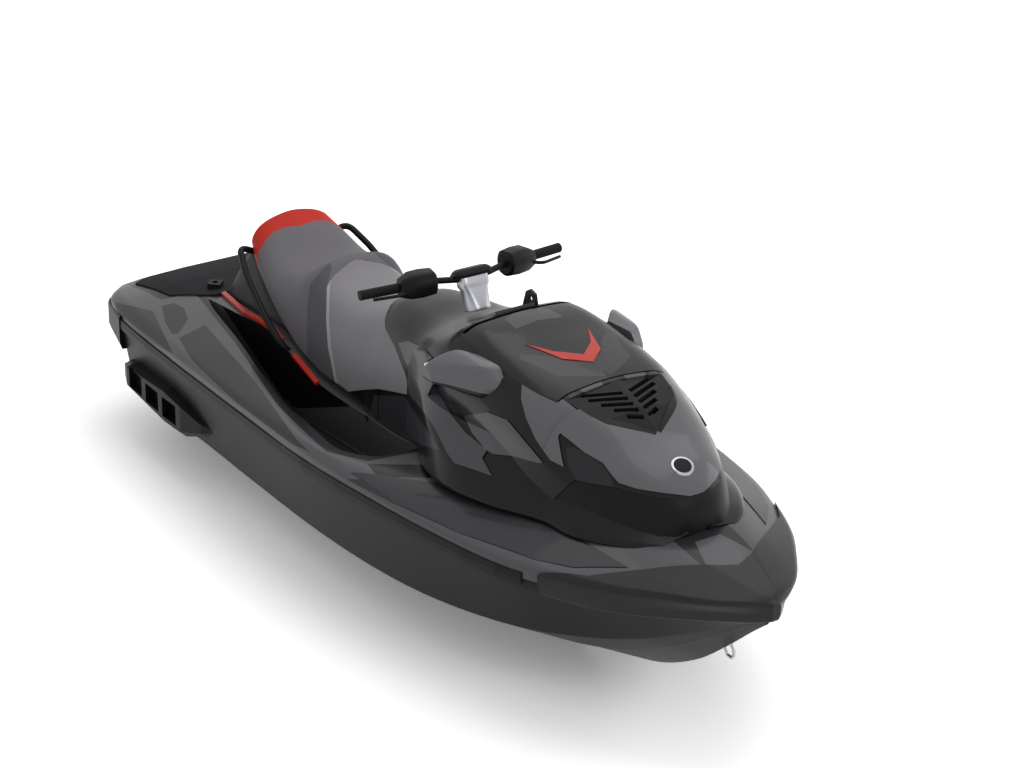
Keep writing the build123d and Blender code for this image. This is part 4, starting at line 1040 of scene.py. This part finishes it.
class Hull(SubAssembly):
    """Hull, deck, foot wells and bow guard."""

    PANEL = (
        (1966, 585), (2203, 446), (2504, 376), (2853, 314), (3058, 267), (2931, 379), (2811, 439),
        (2511, 525), (2217, 570),
    )
    PANEL_STATIONS = (1900, 3120)
    PANEL_HEIGHTS = (500, 760)
    GUARD_HEIGHTS = (380, 700)
    GUARD_FRONT = ((3600, -600), (3600, 600))
    GUARD_REAR = ((2690, 610), (2866, 456), (2996, 373), (3107, 236), (3234, 71), (3262, 0))
    GUARD_TIP = ((0, 500), (12, 500), (16, 531), (15, 545), (11, 550), (6, 551), (3, 552), (0, 552))

    def __init__(self, palette: Palette, form: HullForm) -> None:
        super().__init__(palette)
        self.form = form

    def hull_solid(self, name: str, lift: float = 0) -> bpy.types.Object:
        """The hull's whole body up to the joint line, its top lifted if asked."""
        form = self.form
        stations = Lines(HULL_LINES).stations(STATION_STEP)
        keel, chine = np.moveaxis(Lines(HULL_LINES).at(stations), 1, 0)
        joint = Lines(DECK_LINES).at(stations)[:, 0]
        strake = keel + form.strake_share * (chine - keel)
        band = joint - (form.rail_depth / 2, 2 * form.rail_below)
        top = joint + (0, lift)
        rows = [keel, strake, strake * (form.strake_step, 1), chine, band, top, top * (0, 1)]
        return skin(name, stations, np.stack(rows, axis=1), HULL_RADII)

    def well(self, name: str, skin_width: float) -> bpy.types.Object:
        """Both foot wells as solids from their floors to above the deck, grown outwards by a skin.

        Each outline is rounded, and every point moves by the skin along the normal of the line between its
        neighbours, away from the outline's middle.

        Args:
            name: Name of the object.
            skin_width: Growth outwards and down, in millimetres; less than 0 makes the wells smaller.

        Returns:
            Both wells in one object.
        """
        form = self.form
        rings = []
        for outline, height in ((WELL_BASE, form.well_floor - skin_width), (WELL_MOUTH, form.well_top)):
            ring = softened(np.asarray([outline], float), [form.well_corner] * len(outline))[0]
            run = np.roll(ring, -1, axis=0) - np.roll(ring, 1, axis=0)
            normal = np.column_stack([-run[:, 1], run[:, 0]]) / np.linalg.norm(run, axis=1, keepdims=True)
            inward = np.sign(np.sum(normal * (ring.mean(axis=0) - ring), axis=1).sum())
            ring = ring - inward * normal * skin_width
            rings.append(np.column_stack([ring, np.full(len(ring), height)]))
        return both_sides(name, place(np.concatenate(rings)), capped(2, len(rings[0])))

    def build(self) -> None:
        """Hull, deck with wells, raised deck panels and bow guard."""
        form = self.form
        hull = self.hull_solid("Hull_Bottom")
        tubs = self.well("tubs", form.well_skin)
        carve(tubs, "INTERSECT", self.hull_solid("hull_copy", lift=form.tub_lift))
        deck = shell("Deck_Moulding", Lines(DECK_LINES), DECK_RADII)
        panels = self.panels(deck)
        carve(deck, "UNION", tubs)
        carve(deck, "DIFFERENCE", self.well("wells", 0), angle=28)
        carve(hull, "DIFFERENCE", self.well("hollows", form.well_skin), self.tunnel(), self.intake())
        self.keep(hull, Slot.HULL, ["hull"])
        self.keep(deck, Slot.DECK, ["deck"])
        self.keep(panels, Slot.DARK, ["bow_panels"], finish=Finish(FACET_GREY, 0.3, coat=0.2))
        self.keep(self.guard(), Slot.TRIM, ["bow_cap"], finish=CAP_FINISH)

    def tunnel(self) -> bpy.types.Object:
        """The pump's tunnel as a solid: a half circle over straight sides, carried along the keel."""
        form = self.form
        turn = np.linspace(0, np.pi, 25)
        radius = form.tunnel_radius
        arc = np.column_stack([radius * np.cos(turn), form.pump_height + radius * np.sin(turn)])
        arch = np.concatenate([[(radius, -form.below)], arc, [(-radius, -form.below)]])
        ends = (form.transom - 60, form.tunnel_end)
        rings = [np.column_stack([np.full(len(arch), station), arch]) for station in ends]
        return new_object("tunnel", place(np.concatenate(rings)), capped(2, len(arch)))

    def intake(self) -> bpy.types.Object:
        """The water intake as a solid, rising from the bottom to the tunnel."""
        form = self.form
        top = form.pump_height + form.bore_radius
        rear = form.tunnel_end - 1
        scoop = (
            (rear, -10), (rear, top), (form.tunnel_end + form.scoop_rise, top - form.scoop_fall),
            (form.intake_front, -10),
        )
        return prism("intake", scoop, -form.bore_radius, form.bore_radius, View.SIDE)

    def panels(self, deck: bpy.types.Object) -> bpy.types.Object:
        """Raised panels on both sides of the foredeck."""
        lines = Lines(DECK_LINES).moved(0, self.form.panel_lift)
        raised = shell("Bow_Panels", lines, DECK_RADII, *self.PANEL_STATIONS)
        port = prism("panel_port", self.PANEL, *self.PANEL_HEIGHTS, View.PLAN)
        starboard = prism("panel_starboard", [(s, -y) for s, y in self.PANEL], *self.PANEL_HEIGHTS, View.PLAN)
        carve(raised, "INTERSECT", together("panel_zone", port, starboard))
        return carve(raised, "DIFFERENCE", deck, keep=True)

    def guard(self) -> bpy.types.Object:
        """The black guard round the bow: a skin over the joint and the deck's edge, closed at the nose."""
        form = self.form
        lines = Lines(DECK_LINES)
        stations = np.concatenate([lines.stations(20, rear=form.guard_rear), [form.guard_front]])
        rows = lines.at(np.minimum(stations, max(DECK_LINES)))
        foot, edge, shoulder, crown, top = np.moveaxis(rows, 1, 0)
        drop_by, out, up = (0, -form.guard_drop), (form.guard_out, 0), (0, form.guard_up)
        half = [
            foot * (0, 1) + drop_by, foot + (4, 0) + drop_by, foot + out, edge + out, shoulder + (6, 0) + up,
            crown + up, top + up, top * (0, 1) + up,
        ]
        sections = np.stack(half, axis=1)
        sections[-1] = self.GUARD_TIP
        guard = skin("Bow_Guard", stations, sections, GUARD_RADII)
        port = self.GUARD_REAR
        zone = [*port, *((s, -y) for s, y in reversed(port[:-1])), *self.GUARD_FRONT]
        return carve(guard, "INTERSECT", prism("guard_zone", zone, *self.GUARD_HEIGHTS, View.PLAN))


@dataclass
class BodyForm:
    """Sizes of the console, the hood and the storage cover."""

    cover_rear: float = 2088
    cover_front: float = 2585
    split_rear: float = 985
    split_front: float = 935
    console_front: float = 2070
    run_gap: float = 6
    cover_wall: float = 14
    pocket_depth: float = 24
    plate_lift: float = 4
    plate_sink: float = 3
    fairing_plate: float = 3.5
    badge_station: float = 2968
    badge_radius: float = 38
    badge_rim: float = 8
    badge_squeeze: float = 0.8


class UpperBody(SubAssembly):
    """Console, hood, storage cover, nose band and fairings."""

    SKY = 1200
    FLANKS = (-500, 500)
    SIDES = (-400, 400)
    STORAGE = ((2135, -165, 690), (2455, 165, 1000))
    WEDGE = ((1292, 460), (1302, 484), (1562, 598), (1562, 460))
    PANEL_DEPTHS = (7.5, 9.6)
    FAIRING_DEPTHS = (7.5, 10.4)
    CATCH = ((1950, 930), (2052, 980), (2036, 1042), (2006, 1050), (1984, 1036))
    CATCH_HOLE = ((2002, 1014), (2012, 1004), (2022, 1014), (2022, 1024), (2012, 1032), (2002, 1024))
    CHEVRON = (
        (2285, -122), (2374, -72), (2436, 0), (2374, 72), (2285, 122), (2425, 74), (2488, 0), (2425, -74),
    )
    BAND = ((2690, 500), (3300, 500), (3300, 750), (3046, 750), (2892, 764), (2776, 760), (2700, 664))
    GRILLE = ((2606, 186), (2700, 172), (2834, 0))

    def __init__(self, palette: Palette, form: BodyForm) -> None:
        super().__init__(palette)
        self.form = form

    def body(
        self, name: str, out: float = 0, up: float = 0, rear: float | None = None, front: float | None = None
    ) -> bpy.types.Object:
        """The upper body, moved outwards and upwards, between two stations."""
        return shell(name, Lines(BODY_LINES).moved(out, up), BODY_RADII, rear=rear, front=front)

    def build(self) -> None:
        """All pieces of the upper body."""
        self.build_console()
        self.build_hood()
        self.build_hood_panel()
        self.build_cover()
        self.build_band()
        self.build_fairings()

    def build_console(self) -> None:
        """Console between the saddle and the cover."""
        form = self.form
        console = self.body("console_upper", rear=1440, front=form.console_front)
        carve(console, "DIFFERENCE", prism("before", BEFORE_CONSOLE, *self.SIDES, View.SIDE))
        knees = shell("knees", Lines(SADDLE_LINES), SADDLE_RADII)
        carve(knees, "INTERSECT", prism("wedge", self.WEDGE, *self.SIDES, View.SIDE))
        catch = prism("catch", self.CATCH, 84, 94, View.SIDE)
        carve(catch, "DIFFERENCE", prism("hole", self.CATCH_HOLE, 80, 98, View.SIDE))
        piece = together("Console", console, knees, catch)
        self.keep(piece, Slot.TRIM, ["console"], finish=BODY_FINISH)

    def cover_line(self, station: float) -> float:
        """Height of the cover's parting line at a station."""
        form = self.form
        fall = (form.split_rear - form.split_front) / (form.cover_front - form.cover_rear)
        return form.split_rear - fall * (station - form.cover_rear)

    def over_cover_line(self, name: str, rear: float, front: float, lift: float = 0) -> bpy.types.Object:
        """The space from a lift over the cover's parting line up, between two stations."""
        low = [(station, self.cover_line(station) + lift) for station in (rear, front)]
        return prism(name, (*low, (front, self.SKY), (rear, self.SKY)), *self.FLANKS, View.SIDE)

    def build_hood(self) -> None:
        """Hood ahead of the console, open under the cover, with the pocket of its grille."""
        form = self.form
        hood = self.body("Hood", rear=form.console_front)
        band = prism("band_zone", self.BAND, *self.SIDES, View.SIDE)
        front = form.cover_front + form.run_gap
        room = self.over_cover_line("room", form.console_front - 20, front)
        pocket = prism("pocket", mirrored(self.GRILLE), 700, 1000, View.PLAN)
        carve(pocket, "DIFFERENCE", self.body("lowered", up=-form.pocket_depth, rear=2400))
        carve(hood, "DIFFERENCE", band, room, pocket, block("storage", *self.STORAGE))
        self.keep(hood, Slot.GREY, ["hood"], finish=BODY_FINISH)

    def build_hood_panel(self) -> None:
        """The hood's raised side panels, which stop short of the cover, and the badge on its nose."""
        form = self.form
        front = form.cover_front + form.run_gap
        lift, sink = form.plate_lift, form.plate_sink
        panel = plate(
            "Hood_Panel", HOOD_SIDE.outline, self.body("panel_out", out=lift, up=lift, rear=2200),
            self.body("panel_in", out=-sink, up=-sink, rear=2190, front=3064), self.PANEL_DEPTHS,
        )
        carve(panel, "DIFFERENCE", self.over_cover_line("panel_room", 2100, front, -lift))
        self.keep(panel, Slot.GREY, [], finish=PANEL_FINISH)
        self.badge_disc("Badge_Rim", form.badge_radius, 6.5, Slot.STEEL)
        self.badge_disc("Badge_Face", form.badge_radius - form.badge_rim, 7.5, Slot.TRIM)

    def badge_disc(self, name: str, radius: float, lift: float, slot: Slot) -> None:
        """A bare disc on the hood's nose, drawn in plan as an ellipse because the nose slopes down."""
        form = self.form
        turn = np.linspace(0, 2 * np.pi, 40, endpoint=False)
        along = form.badge_station + form.badge_squeeze * radius * np.cos(turn)
        outline = np.column_stack([along, radius * np.sin(turn)])
        disc = self.body(name, out=lift, up=lift, rear=2880, front=3060)
        carve(disc, "INTERSECT", prism("badge_zone", outline, 640, 900, View.PLAN))
        carve(disc, "DIFFERENCE", self.body("badge_under", out=2, up=2, rear=2870, front=3064))
        self.keep(disc, slot, [])

    def build_cover(self) -> None:
        """Hollow cover over the front storage, with its red chevron."""
        form = self.form
        cover = self.body("Storage_Cover", rear=form.cover_rear, front=form.cover_front)
        wall = form.cover_wall
        inside = self.body(
            "inside", out=-wall, up=-wall, rear=form.cover_rear + wall, front=form.cover_front - wall
        )
        carve(cover, "INTERSECT", self.over_cover_line("zone", form.cover_rear - 5, form.cover_front + 5))
        carve(cover, "DIFFERENCE", inside)
        self.keep(cover, Slot.TRIM, ["storage_lid"], body="front_cover", finish=LID_FINISH)
        stripe = self.body("Cover_Chevron", out=2, up=2.5, rear=2240, front=2520)
        carve(stripe, "INTERSECT", prism("chevron", self.CHEVRON, 910, 1100, View.PLAN))
        carve(stripe, "DIFFERENCE", self.body("under", out=-2, up=-2, rear=2230, front=2530))
        self.keep(stripe, Slot.RED, ["cover_stripe"], body="front_cover")

    def build_band(self) -> None:
        """Dark band under the hood's nose."""
        band = self.body("Nose_Band", out=-5, rear=2600)
        carve(band, "INTERSECT", prism("band_cut", self.BAND, *self.SIDES, View.SIDE))
        self.keep(band, Slot.TRIM, ["nose_band"])

    FAIRING = {
        1800: ((230, 520), (268, 536), (262, 742), (230, 846)),
        1960: ((260, 530), (330, 560), (318, 760), (262, 880)),
        2110: ((280, 540), (408, 576), (380, 730), (280, 876)),
        2300: ((290, 560), (446, 586), (416, 676), (290, 840)),
        2500: ((290, 570), (412, 592), (388, 650), (290, 790)),
        2700: ((250, 580), (344, 600), (330, 640), (250, 742)),
        2850: ((200, 590), (322, 602), (306, 628), (200, 712)),
        3000: ((110, 600), (232, 606), (220, 624), (110, 672)),
        3070: ((30, 606), (152, 612), (144, 624), (30, 644)),
    }

    def fairing(self, name: str, out: float, up: float) -> bpy.types.Object:
        """Both fairings, moved outwards and upwards, cut level under the mirrors."""
        made = side_skin(name, Lines(self.FAIRING).moved(out, up).rows, 18)
        low, high = 780 + up, 1000
        outline = ((2040, low), (2440, low), (2440, high), (2040, high))
        cut = prism("cut", outline, *self.FLANKS, View.SIDE)
        return carve(made, "DIFFERENCE", cut)

    def build_fairings(self) -> None:
        """Fairings on both sides of the hood, with the raised panels on them."""
        out, sink = self.form.fairing_plate, -self.form.plate_sink
        self.keep(self.fairing("Side_Fairings", 0, 0), Slot.GREY, ["side_fairings"], finish=BODY_FINISH)
        for name, zone in (("Fairing_Rear", FAIRING_STRIP), ("Fairing_Front", FAIRING_FACET)):
            outer = self.fairing("fairing_out", out, out)
            carve(outer, "UNION", self.body("body_out", out=out, up=out))
            inner = self.fairing("fairing_in", sink, sink)
            carve(inner, "UNION", self.body("body_in", out=sink, up=sink))
            made = plate(name, zone.outline, outer, inner, self.FAIRING_DEPTHS)
            self.keep(made, Slot.GREY, [], finish=Finish(zone.colour, 0.28, coat=0.25))


class Saddle(SubAssembly):
    """Both seats, the pedestal and the grab handles."""

    HANDLE = (
        (604, 150, 764), (608, 226, 800), (720, 262, 736), (880, 280, 636), (1000, 276, 560),
        (1005, 205, 500),
    )
    HANDLE_RADIUS = 12
    HANDLE_BEND = 40
    FILL = 0.9

    def build(self) -> None:
        """Seats, pedestal and handles."""
        behind, sides = SEAT_PARTING + ((500, 440), (500, 960)), UpperBody.SIDES
        rear = shell("Passenger_Seat", Lines(SADDLE_LINES), SADDLE_RADII)
        carve(rear, "INTERSECT", prism("behind_a", behind, *sides, View.SIDE))
        front = shell("Driver_Seat", Lines(SADDLE_LINES), SADDLE_RADII)
        carve(front, "DIFFERENCE", prism("behind_b", behind, *sides, View.SIDE))
        carve(front, "INTERSECT", prism("before_console", BEFORE_CONSOLE, *sides, View.SIDE))
        self.keep(rear, Slot.SEAT_REAR, ["passenger_seat"])
        self.keep(front, Slot.SEAT, ["driver_seat"])
        pedestal = shell("Seat_Pedestal", Lines(PEDESTAL_LINES), PEDESTAL_RADII)
        self.keep(pedestal, Slot.DARK, ["seat_pedestal"], finish=Finish((44, 43, 46), 0.4))
        bars = []
        for side in (1, -1):
            path = rounded_bar([(s, side * y, h) for s, y, h in self.HANDLE], self.HANDLE_BEND)
            bars.append(pipe(f"handle_{side}", path, self.HANDLE_RADIUS * MM, 16))
        self.keep(together("Grab_Handles", *bars), Slot.TRIM, ["grab_handles"])


@dataclass
class BarForm:
    """Sizes of the steering stem, the handlebar and its fittings."""

    stem_station: float = 1830
    stem_height: float = 925
    lean: float = 19
    stem_length: float = 122
    stem_seat: float = 9
    bar_radius: float = 11
    grip_radius: float = 17
    grip_length: float = 128
    grip_end: float = 392
    housing_length: float = 128
    grip_sweep: float = 66
    grip_over: float = 6
    rib_step: float = 9
    rib_depth: float = 1.2
    bend: float = 26


class Steering(SubAssembly):
    """Stem, pad, handlebar, grips, housings and levers.

    STEM_TOP and PAD have a level over the clamp, a breadth, a length and a corner radius in each row. HOUSING
    has a share of the housing's length, a size and a drop in each row, and POD is its section.
    """

    STEM_TOP = ((-40, 96, 50, 14), (-26, 112, 52, 14), (5, 112, 52, 14))
    PAD = ((6, 146, 70, 20), (14, 150, 74, 20), (26, 132, 62, 18), (32, 112, 48, 16))
    HOUSING = ((0, 0.5, 4), (0.03, 0.66, 3), (0.3, 0.96, 0), (0.62, 1.0, 0), (0.94, 0.92, 0), (1, 0.7, 0))
    POD = ((48, 10), (30, 46), (-34, 44), (-46, 12), (-36, -38), (6, -50), (42, -32))

    def __init__(self, palette: Palette, form: BarForm) -> None:
        super().__init__(palette)
        self.form = form
        lean = math.radians(form.lean)
        self.axis = np.array((-math.sin(lean), 0, math.cos(lean)))
        self.foot = np.array((form.stem_station, 0, form.stem_height))
        clamp = self.foot + self.axis * form.stem_length
        self.tip = np.array((clamp[0] - form.grip_sweep, form.grip_end, clamp[2] - 4))
        self.knee = np.array((clamp[0] - 14, 140, clamp[2] + 10))
        self.root = np.array((clamp[0], 52, clamp[2]))
        self.way = (self.tip - self.knee) / np.linalg.norm(self.tip - self.knee)

    def on_bar(self, back: float) -> np.ndarray:
        """A point on the port side's straight end, at a distance in from its tip."""
        return self.tip - self.way * back

    def prismatic(self, name: str, levels: Sequence[tuple[float, float, float, float]]) -> bpy.types.Object:
        """A solid up the steering axis through rounded rectangles of level, breadth, length and radius."""
        forward = np.array((self.axis[2], 0, -self.axis[0]))
        rings = []
        for level, wide, long, radius in levels:
            corner_points = np.array([[(1, 1), (-1, 1), (-1, -1), (1, -1)]]) * (wide / 2, long / 2)
            flat = softened(corner_points, [radius * 1.6] * 4, 8)[0]
            rings.append(self.foot + self.axis * level + flat[:, :1] * (0, 1, 0) + flat[:, 1:] * forward)
        return new_object(name, place(np.concatenate(rings)), capped(len(rings), len(rings[0])))

    def build(self) -> None:
        """All pieces on the steering body."""
        form = self.form
        mirror = np.array((1, -1, 1))
        run = [self.tip, self.knee, self.root]
        bar_points = run + [p * mirror for p in reversed(run)]
        bar = pipe("Handlebar", rounded_bar(bar_points, form.bend), form.bar_radius * MM)
        self.keep(bar, Slot.STEEL, ["handlebar"], body="steering", finish=FINISHES[Slot.TRIM])
        foot = ((form.stem_seat + 0.4, 84, 76, 20), (form.stem_seat + 12, 82, 74, 20))
        stem = self.prismatic("Steering_Stem", (*foot, *self.over_clamp(self.STEM_TOP)))
        self.keep(softer(stem, 3), Slot.ALLOY, ["steering_stem"], body="steering")
        pad = self.prismatic("Bar_Pad", self.over_clamp(self.PAD))
        self.keep(softer(pad, 5), Slot.TRIM, ["bar_pad"], body="steering")
        grips, housings = [], []
        for side in (1, -1):
            turn = np.array((1, side, 1))
            back = np.linspace(form.grip_length, -form.grip_over, 90)
            ribs = form.grip_radius - form.rib_depth * (np.sin(back * 2 * np.pi / form.rib_step) > 0.3)
            ribs[:6], ribs[-6:] = form.grip_radius, form.grip_radius
            path = place(self.tip * turn - np.outer(back, self.way * turn))
            grips.append(pipe(f"grip_{side}", path, ribs * MM, 28))
            housings.append(self.housing(f"housing_{side}", side))
        self.keep(together("Grips", *grips), Slot.GRIP, ["grips"], body="steering")
        self.keep(together("Switch_Housings", *housings), Slot.TRIM, ["switch_housings"], body="steering")
        for side, name, node in ((-1, "Throttle_Lever", "throttle_lever"), (1, "Brake_Lever", "brake_lever")):
            self.keep(self.lever(name, side), Slot.TRIM, [node], body="steering")

    def over_clamp(self, rows: Sequence[tuple[float, float, float, float]]) -> list[tuple[float, ...]]:
        """Rows whose levels count from the clamp, as rows from the stem's foot."""
        return [(self.form.stem_length + level, *rest) for level, *rest in rows]

    def housing(self, name: str, side: int) -> bpy.types.Object:
        """A rounded switch pod on the bar, fuller towards the middle of the craft."""
        form = self.form
        turn = np.array((1, side, 1))
        across = np.cross(self.way, (0, 0, 1.0))
        across /= np.linalg.norm(across)
        upward = np.cross(across, self.way)
        rings = []
        for share, size, drop_by in self.HOUSING:
            back = form.grip_length + 4 + form.housing_length * share
            outline = np.array([self.POD]) * size
            flat = softened(outline - (0, drop_by), [16 * size] * len(self.POD), 6)[0]
            rings.append((self.on_bar(back) + flat[:, :1] * across + flat[:, 1:] * upward) * turn)
        return new_object(name, place(np.concatenate(rings)), capped(len(rings), len(rings[0])))

    def lever(self, name: str, side: int) -> bpy.types.Object:
        """A hand lever from its housing round in front of the grip."""
        reach = 60 if side > 0 else 46
        turn = np.array((1, side, 1))
        length = self.form.grip_length
        root, knuckle, tip = (self.on_bar(back) for back in (length + 40, length - 6, 26))
        points = np.array([root + (10, 0, -6), knuckle + (reach, 0, -8), tip + (reach - 14, 0, -10)]) * turn
        path = rounded_bar(points, 24)
        return pipe(name, path, np.linspace(6.5, 5.5, len(path)) * MM, 14)


class Mirrors(SubAssembly):
    """Mirrors on the sides of the hood."""

    HOUSING = {
        256: ((2196, 884), (2350, 872), (2380, 924), (2340, 978), (2206, 972)),
        306: ((2150, 878), (2316, 866), (2346, 918), (2312, 976), (2156, 984)),
        366: ((2104, 880), (2204, 878), (2196, 904), (2160, 944), (2112, 950)),
        392: ((2092, 884), (2160, 882), (2150, 896), (2134, 920), (2098, 924)),
    }
    GLASS = {
        308: ((2143, 894), (2153, 894), (2157, 966), (2147, 966)),
        382: ((2089, 892), (2099, 892), (2103, 928), (2093, 928)),
    }

    def build(self) -> None:
        """Both housings and their glasses."""
        under = Zone(BLACK, ((2000, 860), (2400, 860), (2400, 892), (2000, 888)), View.SIDE)
        finish = Finish((108, 107, 111), 0.3, coat=0.2, zones=(under,))
        housings = self.across("Mirror_Housings", self.HOUSING, 16)
        self.keep(housings, Slot.GREY, ["mirror_housings"], finish=finish)
        self.keep(self.across("Mirror_Glasses", self.GLASS, 2), Slot.MIRROR, ["mirror_glasses"])

    def across(self, name: str, sections: dict[int, Outline], radius: float) -> bpy.types.Object:
        """Solids on both sides through rounded sections of stations and heights, given by breadth."""
        lines = Lines({k: tuple(v) for k, v in sections.items()})
        breadths = lines.stations(8)
        rows = lines.at(breadths)
        rows = softened(rows, [radius] * rows.shape[1])
        across = np.broadcast_to(breadths[:, None, None], (*rows.shape[:2], 1))
        points = place(np.concatenate([rows[..., :1], across, rows[..., 1:]], axis=2).reshape(-1, 3))
        return both_sides(name, points, capped(*rows.shape[:2]))


class Carried(SubAssembly):
    """Pieces of the frame that are shown as they are, each with the material of its slot."""

    def __init__(self, palette: Palette, frame: dict[str, Any]) -> None:
        super().__init__(palette)
        self.frame = frame

    def build(self) -> None:
        """Nothing is made; the frame has the meshes."""

    def dress(self) -> None:
        """Paints every node that no smooth piece stands for."""
        slots = {row["node"]: row["material_slot"] for row in self.frame["record"]["subparts"]}
        for name, node in self.frame["nodes"].items():
            if node.hide_render:
                continue
            slot = Slot(slots[name])
            node.data.materials.clear()
            node.data.materials.append(self.palette.material(slot.value, FINISHES[slot]))


# Stage


class Studio:
    """Floor, light and camera.

    The floor's colour is over 1 for seen rays, so that it shows white where the light reaches it and still
    darkens in the craft's shadow; other rays meet an ordinary floor, which adds no light to the craft.
    """

    FLOOR = -0.3005
    FLOOR_HALF = 60.0
    FLOOR_LIT = 0.9
    FLOOR_SEEN = 1.75
    GLOW = 1.12
    GLOW_SHARE = 0.12
    SKY_LIT = 0.5
    SKY_SEEN = 1.0
    AIM = (0.0, 0.0, 0.2)
    LAMPS = (
        ("Top", (-1.0, 1.5, 6.0), 6.0, 150.0),
        ("Port", (2.5, 7.0, 3.5), 4.0, 110.0),
        ("Bow", (8.0, 1.0, 4.5), 3.0, 90.0),
    )

    def __init__(self, shot: Shot) -> None:
        self.shot = shot

    def build(self) -> None:
        """Makes the stage and sets the camera."""
        self.camera()
        self.floor()
        self.world()
        self.lamps()
        bpy.context.scene.view_settings.view_transform = "Standard"

    def camera(self) -> None:
        """The camera at the shot."""
        shot = self.shot
        right, up, back = (Vector(axis) for axis in shot.axes())
        data = bpy.data.cameras.new("Camera")
        data.lens = shot.lens
        data.sensor_width = shot.sensor
        data.clip_end = 200
        made = bpy.data.objects.new("Camera", data)
        turn = Matrix((right, up, back)).transposed().to_4x4()
        made.matrix_world = Matrix.Translation(shot.position) @ turn
        bpy.context.scene.collection.objects.link(made)
        bpy.context.scene.camera = made

    def floor(self) -> None:
        """A white floor under the keel that keeps the shadow."""
        flat = np.array([(-1, -1), (1, -1), (1, 1), (-1, 1)]) * self.FLOOR_HALF
        floor = new_object("Floor", np.column_stack([flat, np.full(4, self.FLOOR)]), [(0, 1, 2, 3)])
        graph = Graph("floor_white")
        light = graph.node("ShaderNodeLightPath")
        seen = graph.wire(light, "Is Camera Ray").most(graph.wire(light, "Is Glossy Ray"))
        seen = seen.most(graph.wire(light, "Is Transmission Ray"))
        shade = graph.mix((*[self.FLOOR_LIT] * 3, 1), (*[self.FLOOR_SEEN] * 3, 1), seen)
        diffuse = graph.wire(graph.node("ShaderNodeBsdfDiffuse", None, {"Color": shade}))
        white = {"Color": (1, 1, 1, 1), "Strength": self.GLOW}
        glow = graph.wire(graph.node("ShaderNodeEmission", None, white))
        mixed = graph.node("ShaderNodeMixShader", None, {0: seen * self.GLOW_SHARE, 1: diffuse, 2: glow})
        graph.node("ShaderNodeOutputMaterial", None, {"Surface": graph.wire(mixed)})
        floor.data.materials.append(graph.material)

    def world(self) -> None:
        """A white world for camera, glossy and transmission rays and a plain soft one for the light."""
        world = bpy.data.worlds.new("World")
        bpy.context.scene.world = world
        world.use_nodes = True
        nodes, links = world.node_tree.nodes, world.node_tree.links
        nodes.clear()
        light, mixed = nodes.new("ShaderNodeLightPath"), nodes.new("ShaderNodeMixShader")
        for place_in, strength in ((1, self.SKY_LIT), (2, self.SKY_SEEN)):
            sky = nodes.new("ShaderNodeBackground")
            sky.inputs["Color"].default_value = (1, 1, 1, 1)
            sky.inputs["Strength"].default_value = strength
            links.new(sky.outputs[0], mixed.inputs[place_in])
        rays = light.outputs["Is Camera Ray"]
        for kind in ("Is Glossy Ray", "Is Transmission Ray"):
            either = nodes.new("ShaderNodeMath")
            either.operation = "MAXIMUM"
            links.new(rays, either.inputs[0])
            links.new(light.outputs[kind], either.inputs[1])
            rays = either.outputs[0]
        links.new(rays, mixed.inputs[0])
        links.new(mixed.outputs[0], nodes.new("ShaderNodeOutputWorld").inputs["Surface"])

    def lamps(self) -> None:
        """Large soft lamps above and to both sides."""
        for name, place_at, size, power in self.LAMPS:
            data = bpy.data.lights.new(name, "AREA")
            data.energy = power
            data.size = size
            made = bpy.data.objects.new(name, data)
            aim = (Vector(self.AIM) - Vector(place_at)).to_track_quat("-Z", "Y")
            made.matrix_world = Matrix.Translation(place_at) @ aim.to_matrix().to_4x4()
            bpy.context.scene.collection.objects.link(made)


def main() -> None:
    """Builds the scene in order and reports each step."""
    logging.basicConfig(level=logging.INFO, format="%(message)s")
    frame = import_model()
    palette = Palette()
    assemblies: list[SubAssembly] = [
        Hull(palette, HullForm()),
        UpperBody(palette, BodyForm()),
        Saddle(palette),
        Steering(palette, BarForm()),
        Mirrors(palette),
        Carried(palette, frame),
    ]
    for assembly in assemblies:
        assembly.build()
        assembly.dress()
        LOG.info("%s: %d pieces", type(assembly).__name__, len(assembly.pieces))
    Studio(SHOT).build()


if __name__ == "__main__":
    main()
